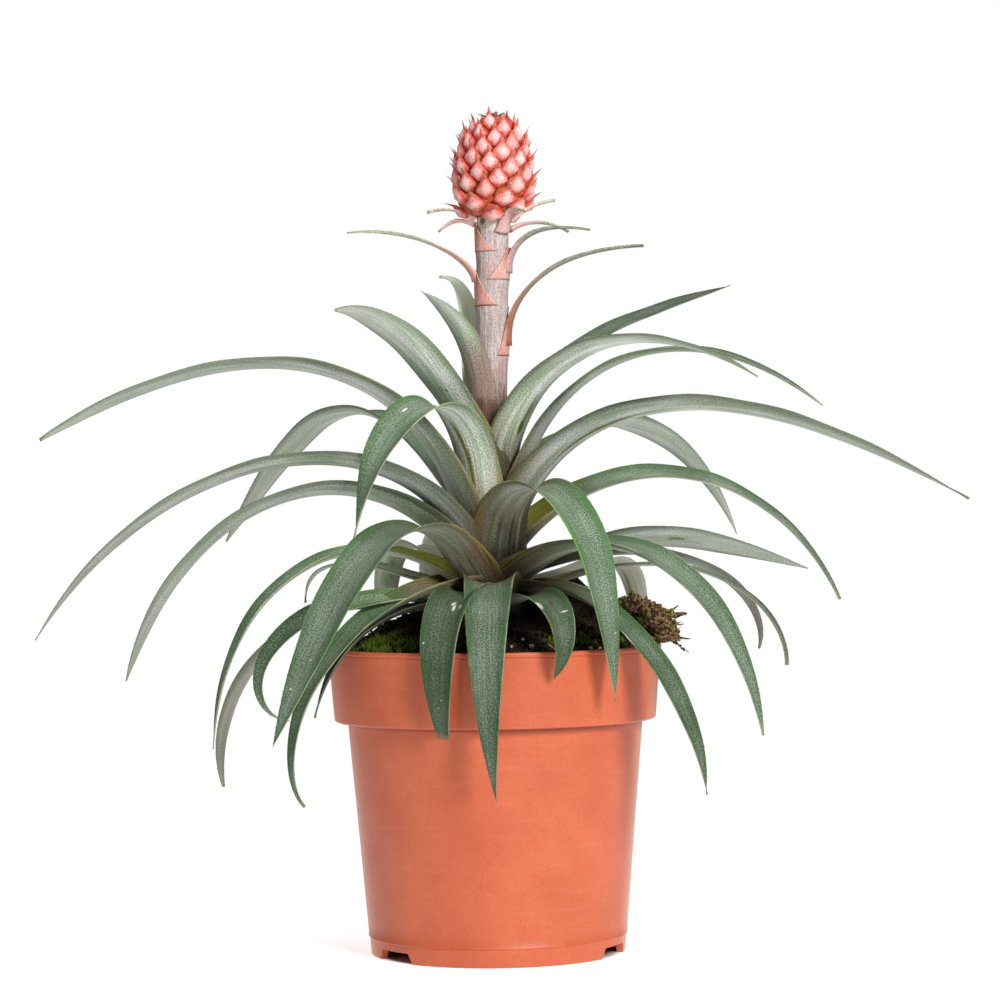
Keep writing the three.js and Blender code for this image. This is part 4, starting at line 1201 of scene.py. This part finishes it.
def pot_material():
    """Terracotta-coloured plastic, faintly mottled, with a painted reflection that pales its outline and a
    painted shadow under the rim.
    """
    shader = Shader("pot_plastic", roughness=0.42, specular=0.45)
    spot = shader.position()
    grain = shader.noise(spot, scale=1.1)
    cloud = shader.noise(spot, scale=0.05)
    fine = shader.noise(spot, scale=3.5, detail=2.0)
    mottle = shader.add(shader.times(grain, 0.45), shader.times(cloud, 0.6))
    colour = shader.fade(srgb(190, 87, 53), srgb(204, 103, 65), mottle, 0.35, 0.75)
    smear = shader.noise(shader.stretched(spot, (0.16, 0.16, 1.4)), scale=0.2, detail=2.0)
    colour = shader.fade(colour, srgb(244, 176, 150), smear, 0.55, 0.8, 0.0, 0.05)
    # Painted reflection: the white surroundings pale the outline at grazing angles
    facing = shader.node("ShaderNodeLayerWeight", 0.5, output="Facing")
    colour = shader.fade(colour, srgb(222, 160, 138), facing, 0.62, 1.0, 0.0, 0.75)
    height = shader.height(spot)
    # Painted shadow in a thin band on the body just under the rim band's ledge
    crevice = shader.rise(height, RIM_FOOT - 1.6, RIM_FOOT - 0.4, 0.0, 0.8)
    crevice = shader.times(crevice, shader.rise(height, RIM_FOOT, RIM_FOOT + 0.3, 1.0, 0.0))
    colour = shader.mix(crevice, colour, srgb(128, 44, 26))
    return shader.finish(colour, shader.add(grain, shader.times(fine, 0.5)), 0.08, 0.2)


def cut_with(piece, cutters):
    for cutter in cutters:
        modifier = piece.modifiers.new("cut", "BOOLEAN")
        modifier.operation = "DIFFERENCE"
        modifier.solver = "EXACT"
        modifier.object = cutter
    bpy.context.view_layer.update()
    shaped = bpy.data.meshes.new_from_object(piece.evaluated_get(bpy.context.evaluated_depsgraph_get()))
    piece.modifiers.clear()
    piece.data = shaped
    for cutter in cutters:
        bpy.data.objects.remove(cutter)


def pot():
    build = Build()
    turned(build, pot_profile(), sides=240)
    material = pot_material()
    piece = build.object("pot_shell", material)
    cutters = [wedge_cutter(azimuth) for azimuth in NOTCH_AZIMUTHS]
    cutters += [hole_cutter(index) for index in range(DRAIN_HOLE_COUNT)]
    cut_with(piece, [cutter.object("cutter", material, smooth=False) for cutter in cutters])
    sharp_edges(piece.data, angle_degrees=38)
    place(piece, "pot", "pot")


def sharp_edges(mesh, angle_degrees):
    """Shading breaks where faces meet at more than the angle."""
    work = bmesh.new()
    work.from_mesh(mesh)
    limit = math.radians(angle_degrees)
    for edge in work.edges:
        edge.smooth = len(edge.link_faces) != 2 or edge.calc_face_angle(0) < limit
    work.to_mesh(mesh)
    work.free()


# Soil, moss and the clump of peat

def soil_height(x, y):
    radius = np.hypot(x, y)
    mound = SOIL_EDGE_HEIGHT + SOIL_MOUND * (1 - (radius / 58) ** 2)
    lumps = 0
    for lump_x, lump_y, rise, spread in SOIL_LUMPS:
        away = np.hypot(x - lump_x, y - lump_y) / spread
        lumps = lumps + rise * np.exp(-0.5 * away * away)
    edge = np.clip((57 - radius) / 12, 0, 1)
    rough = 0.9 * np.sin(x * 0.31 + 1.3) * np.cos(y * 0.27) + 0.5 * np.sin(x * 0.7 - y * 0.6)
    return mound + (lumps + rough) * edge


def soil_material():
    """Dark peat with brown crumbs and a trace of green."""
    shader = Shader("peat_soil", roughness=0.95, specular=0.15)
    spot = shader.position()
    crumbs = shader.noise(spot, scale=0.9, detail=4.0)
    patches = shader.noise(spot, scale=0.2)
    colour = shader.fade(srgb(18, 13, 10), srgb(62, 46, 34), crumbs, 0.35, 0.7)
    colour = shader.fade(colour, srgb(112, 88, 62), crumbs, 0.66, 0.8, 0.0, 0.6)
    colour = shader.fade(colour, srgb(52, 56, 24), patches, 0.55, 0.7, 0.0, 0.3)
    return shader.finish(colour, crumbs, 0.7, 1.2)


def ball(splits):
    """Corners and triangles of a ball of radius one."""
    work = bmesh.new()
    bmesh.ops.create_icosphere(work, subdivisions=splits, radius=1.0)
    corners = [vertex.co.copy() for vertex in work.verts]
    faces = [tuple(corner.index for corner in face.verts) for face in work.faces]
    work.free()
    return corners, faces


def crumb(build, centre, size, rng):
    """An irregular grain with eight to twenty corners."""
    corners, faces = ball(1)
    stretch = [0.6 + 0.8 * rng.random() for _ in range(3)]
    turn = Matrix.Rotation(rng.random() * 6.28, 3, Vector((rng.random(), rng.random(), 1)))
    points = []
    for corner in corners:
        wobble = 0.75 + 0.5 * rng.random()
        local = turn @ Vector([corner[axis] * stretch[axis] * wobble for axis in range(3)])
        points.append(np.array(centre) + np.array(local) * size)
    build.add(points, faces)


def soil(rings=90, sides=200):
    """The peat in the pot: a turned body whose top is a rough height field."""
    build = Build()
    rng = random.Random(3)
    turn = full_turn(sides)
    points = []
    for height in (POT_FLOOR_TOP + 0.3, RIM_FOOT - 1.5, RIM_FOOT + 1.2):
        points.append(ring(pot_inner_radius(height) - SOIL_GAP, height, turn))
    outer = pot_inner_radius(SOIL_EDGE_HEIGHT) - SOIL_GAP
    for radius in np.linspace(outer, 9.5, rings):
        top = ring(radius, 0.0, turn)
        top[:, 2] = soil_height(top[:, 0], top[:, 1])
        fade = min(1.0, (outer - radius) / 4 + 0.15)
        for point in top:
            spot = Vector((point[0], point[1], 0))
            point[2] += fade * (1.1 * noise.noise(spot * 0.45) + 0.8 * noise.noise(spot * 1.1))
        points.append(top)
    hole = points[-1].copy()
    hole[:, 2] = STEM_FOOT - 0.3
    build.tube(points + [hole])
    nearest, farthest = CRUMB_DISTANCES
    for _ in range(SOIL_CRUMBS):
        angle = rng.random() * 2 * math.pi
        radius = nearest + (farthest - nearest) * math.sqrt(rng.random())
        x = radius * math.sin(angle)
        y = -radius * math.cos(angle)
        size = 0.35 + 0.9 * rng.random() ** 3
        crumb(build, (x, y, soil_height(x, y) + 0.4), size, rng)
    place(build.object("soil_surface", soil_material()), "soil", "soil")


def moss_material():
    """Olive to fresh green slivers, dark at their feet, with brown patches."""
    shader = Shader("moss", roughness=0.9, specular=0.15)
    patches = shader.noise(shader.position(), scale=0.35)
    tone, along = shader.numbers("tone", "along")
    colour = shader.mix(tone, srgb(56, 78, 14), srgb(120, 142, 36))
    colour = shader.fade(colour, srgb(72, 62, 26), patches, 0.5, 0.7, 0.0, 0.5)
    colour = shader.fade(colour, srgb(30, 34, 12), along, 0.0, 0.7, 0.8, 0.0)
    return shader.finish(colour, patches, 0.2, 0.3)


def moss_blade(build, foot, way, length, rng):
    """A three-sided sliver."""
    level = unit(np.cross(way, [rng.random() - 0.5, rng.random() - 0.5, 0.31]))
    across = np.cross(way, level)
    width = 0.16 + 0.1 * rng.random()
    back = foot - level * width * 0.5
    corners = [foot + level * width, back + across * width * 0.8, back - across * width * 0.8,
               foot + way * length]
    build.add(corners, SLIVER_FACES, tone=rng.random(), along=[0, 0, 0, 1.0])


# Moss patches on the soil: azimuth, distance, reach and number of slivers

MOSS_PATCHES = (
    (-58, 48, 8.0, 900), (-44, 51, 7.0, 800), (-30, 49, 6.0, 600), (-20, 43, 5.0, 420),
    (27, 50, 6.0, 420), (38, 44, 7.0, 460), (62, 46, 7.0, 420), (140, 44, 9.0, 500), (-130, 46, 9.0, 500),
)


def moss():
    build = Build("tone", "along")
    rng = random.Random(8)
    nearest, farthest = MOSS_DISTANCES
    for azimuth, distance, reach, count in MOSS_PATCHES:
        middle = heading(azimuth) * distance
        for _ in range(count):
            x = middle[0] + rng.gauss(0, reach / 2)
            y = middle[1] + rng.gauss(0, reach / 2)
            gap = noise.noise(Vector((x, y, 0)) * 0.22) < 0.02
            if gap or not nearest < math.hypot(x, y) < farthest:
                continue
            lean = np.array([rng.gauss(0, 0.5), rng.gauss(0, 0.5), 1.0])
            foot = np.array([x, y, soil_height(x, y) + 0.2])
            moss_blade(build, foot, unit(lean), 1.3 + 1.6 * rng.random(), rng)
    place(build.object("moss_on_soil", moss_material(), smooth=False), "soil")


def clump_material():
    """Brown peat fibres with olive moss in patches."""
    shader = Shader("clump_peat", roughness=0.95, specular=0.15)
    spot = shader.position()
    crumbs = shader.noise(spot, scale=0.8, detail=4.0)
    patches = shader.noise(spot, scale=0.16)
    colour = shader.fade(srgb(46, 30, 20), srgb(158, 124, 92), crumbs, 0.38, 0.66)
    mossy = shader.fade(srgb(56, 56, 20), srgb(150, 148, 70), crumbs, 0.35, 0.65)
    return shader.finish(shader.fade(colour, mossy, patches, 0.5, 0.62, 0.0, 0.8), crumbs, 0.8, 1.2)


def scatter(rng, spread):
    """A random step, alike in all directions."""
    return np.array([rng.gauss(0, spread) for _ in range(3)])


def rootlet(build, foot, way, length, radius, rng, rows=7, sides=5):
    """A thin crooked root."""
    level = unit(np.cross(way, [0.3, 0.2, 1.0]))
    across = np.cross(way, level)
    bend = scatter(rng, 0.25)
    turn = full_turn(sides)
    rings = []
    for reach in np.linspace(0, 1, rows):
        jitter = scatter(rng, 0.12) * (reach > 0)
        centre = foot + (way * reach + bend * reach * reach) * length + jitter
        thick = radius * (1 - 0.8 * reach)
        rings.append(centre + (np.outer(np.cos(turn), level) + np.outer(np.sin(turn), across)) * thick)
    build.tube(rings)


def on_clump(way, size):
    """The place in a direction from the clump's middle; size is its share of the clump's reach."""
    spot = CLUMP_CENTRE + way * (np.array([CLUMP_REACH, CLUMP_REACH, CLUMP_HEIGHT]) * size)
    spot[2] -= CLUMP_SLOPE * max(0, spot[0] - CLUMP_CENTRE[0] + 6)
    return spot


def clump():
    """A lumpy body that lies on soil and rim, with rootlets, crumbs and ragged spurs."""
    build = Build()
    rng = random.Random(11)
    corners, faces = ball(5)
    points = []
    for corner in corners:
        way = np.array(corner.normalized())
        lumpy = 1 + 0.16 * math.sin(5 * way[0] + 2 * way[2]) + 0.12 * math.cos(7 * way[1] - 3 * way[0])
        rough = 0.4 * noise.noise(Vector(way) * 2.6) + 0.36 * noise.noise(Vector(way) * 7.5) - 0.12
        lumpy -= 0.3 * max(0, way[2]) * max(0, 0.4 - way[0])
        spot = on_clump(way, lumpy + rough)
        over_soil = math.hypot(spot[0], spot[1]) < SOIL_REACH
        floor = soil_height(spot[0], spot[1]) - 0.4 if over_soil else POT_HEIGHT + 0.2
        spot[2] = max(spot[2], floor)
        points.append(spot)
    build.add(points, faces)
    for azimuth in np.linspace(20, 170, CLUMP_ROOTLETS):
        azimuth = azimuth + rng.gauss(0, 4)
        way = unit(heading(azimuth) + np.array([0, 0, rng.random() * 1.1 - 0.15]))
        length = 2.0 + 3.4 * rng.random() ** 2
        rootlet(build, on_clump(way, 0.85), way, length, 0.4 + 0.9 * rng.random(), rng)
    for _ in range(CLUMP_CRUMBS):
        way = unit(np.array([rng.gauss(0.2, 1), rng.gauss(0, 1), abs(rng.gauss(0, 1))]))
        spot = on_clump(way, 0.85 + 0.2 * rng.random())
        if spot[2] > POT_HEIGHT + 1:
            crumb(build, spot, 0.4 + 1.1 * rng.random() ** 2, rng)
    for start, end, grains, size in CLUMP_SPURS:
        spur(build, np.array(start), np.array(end), grains, size, rng)
    place(build.object("peat_clump_crumbs", clump_material()), "peat", "peat_clump")


def spur(build, start, end, grains, size, rng):
    """A row of shrinking crumbs that sticks out of the clump."""
    for reach in np.linspace(0, 1, grains):
        loose = scatter(rng, 1) * 0.4 * size * (1 - reach)
        crumb(build, start + (end - start) * reach + loose, size * (1 - 0.7 * reach), rng)


def litter_material():
    """Straw and chip colours, light and tan."""
    shader = Shader("straw_and_chips", roughness=0.8, specular=0.2)
    cloud = shader.noise(shader.position(), scale=0.5, detail=2.0)
    return shader.finish(shader.fade(srgb(176, 136, 88), srgb(236, 222, 192), cloud, 0.35, 0.65))


def litter():
    """A bit of straw at the rim and pale chips on the peat."""
    build = Build()
    rng = random.Random(14)
    foot, tip = np.array(STRAW)
    rootlet(build, foot, unit(tip - foot), 6.8, 0.35, rng)
    for x, y, size in CHIPS:
        crumb(build, (x, y, soil_height(x, y) + 0.8), size, rng)
    place(build.object("straw_and_chips", litter_material()), "soil")


# Stage: the camera in millimetres and degrees, the lamps (place, size and power) in metres and watts

CAMERA_SPOT = (2.8, -1149.0, 161.6)
CAMERA_TURN = 0.8
LENS_MM = 115.2
FLOOR_SIZE = 1.3
AROUND_LIGHT = 0.2
LIGHT_AIM = (0, 0, 0.15)
LIGHTS = (
    ("key_softbox", (0.75, -1.35, 0.85), 0.5, 26.5),
    ("top_softbox", (-0.1, 0.1, 1.6), 1.0, 9.0),
)


def camera():
    """The photograph's eye: level, a little right of the pot, turned by under one degree."""
    lens = bpy.data.cameras.new("camera")
    lens.sensor_width = 36.0
    lens.lens = LENS_MM
    eye = linked("camera", lens)
    turn = math.radians(CAMERA_TURN)
    right = Vector((math.cos(turn), 0, -math.sin(turn)))
    up = Vector((math.sin(turn), 0, math.cos(turn)))
    back = Vector((0, -1, 0))
    eye.matrix_world = Matrix((right, up, back)).transposed().to_4x4()
    eye.matrix_world.translation = Vector(CAMERA_SPOT) * MM
    bpy.context.scene.camera = eye


def area_light(name, spot, size, power):
    """A round lamp that points at the plant."""
    light = bpy.data.lights.new(name, "AREA")
    light.shape = "DISK"
    light.size = size
    light.energy = power
    lamp = linked(name, light)
    lamp.location = spot
    lamp.rotation_euler = (Vector(LIGHT_AIM) - Vector(spot)).to_track_quat("-Z", "Y").to_euler()


def floor_material():
    """White sweep that is bright enough to stay white around the pot, and dark beneath it."""
    shader = Shader("white_sweep", roughness=0.9, specular=0.1)
    spot = shader.position()
    cloud = shader.noise(spot, scale=0.01, detail=2.0)
    shader.surface.inputs["Emission Color"].default_value = WHITE
    away = shader.node("ShaderNodeVectorMath", spot, operation="LENGTH", output="Value")
    shader.feed(shader.surface.inputs["Emission Strength"], shader.rise(away, 42.0, 46.0, 0.0, 0.75))
    return shader.finish(shader.mix(cloud, (0.55, 0.55, 0.55, 1), (0.6, 0.6, 0.6, 1)))


def world():
    """Pure white behind the plant, and a softer even light around it."""
    studio = bpy.data.worlds.new("studio")
    bpy.context.scene.world = studio
    studio.use_nodes = True
    tree = studio.node_tree
    background = tree.nodes["Background"]
    background.inputs["Color"].default_value = WHITE
    seen = tree.nodes.new("ShaderNodeLightPath").outputs["Is Camera Ray"]
    strength = tree.nodes.new("ShaderNodeMapRange")
    strength.inputs["To Min"].default_value = AROUND_LIGHT
    strength.inputs["To Max"].default_value = 1.0
    tree.links.new(seen, strength.inputs["Value"])
    tree.links.new(strength.outputs[0], background.inputs["Strength"])


def stage():
    bpy.ops.mesh.primitive_plane_add(size=FLOOR_SIZE, location=(0, 0, 0))
    floor = bpy.context.object
    floor.name = "studio_floor"
    floor.data.materials.append(floor_material())
    floor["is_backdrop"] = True
    world()
    for name, spot, size, power in LIGHTS:
        area_light(name, spot, size, power)
    bpy.context.scene.view_settings.view_transform = "Standard"


camera()
stage()
pot()
soil()
moss()
clump()
litter()
stalk()
sheaths()
bracts()
leaves()
fruit()
tuft()

bpy.context.view_layer.update()
boxes = {"cad": [list(corner) for corner in cad_box], "visual": [list(corner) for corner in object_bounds()]}
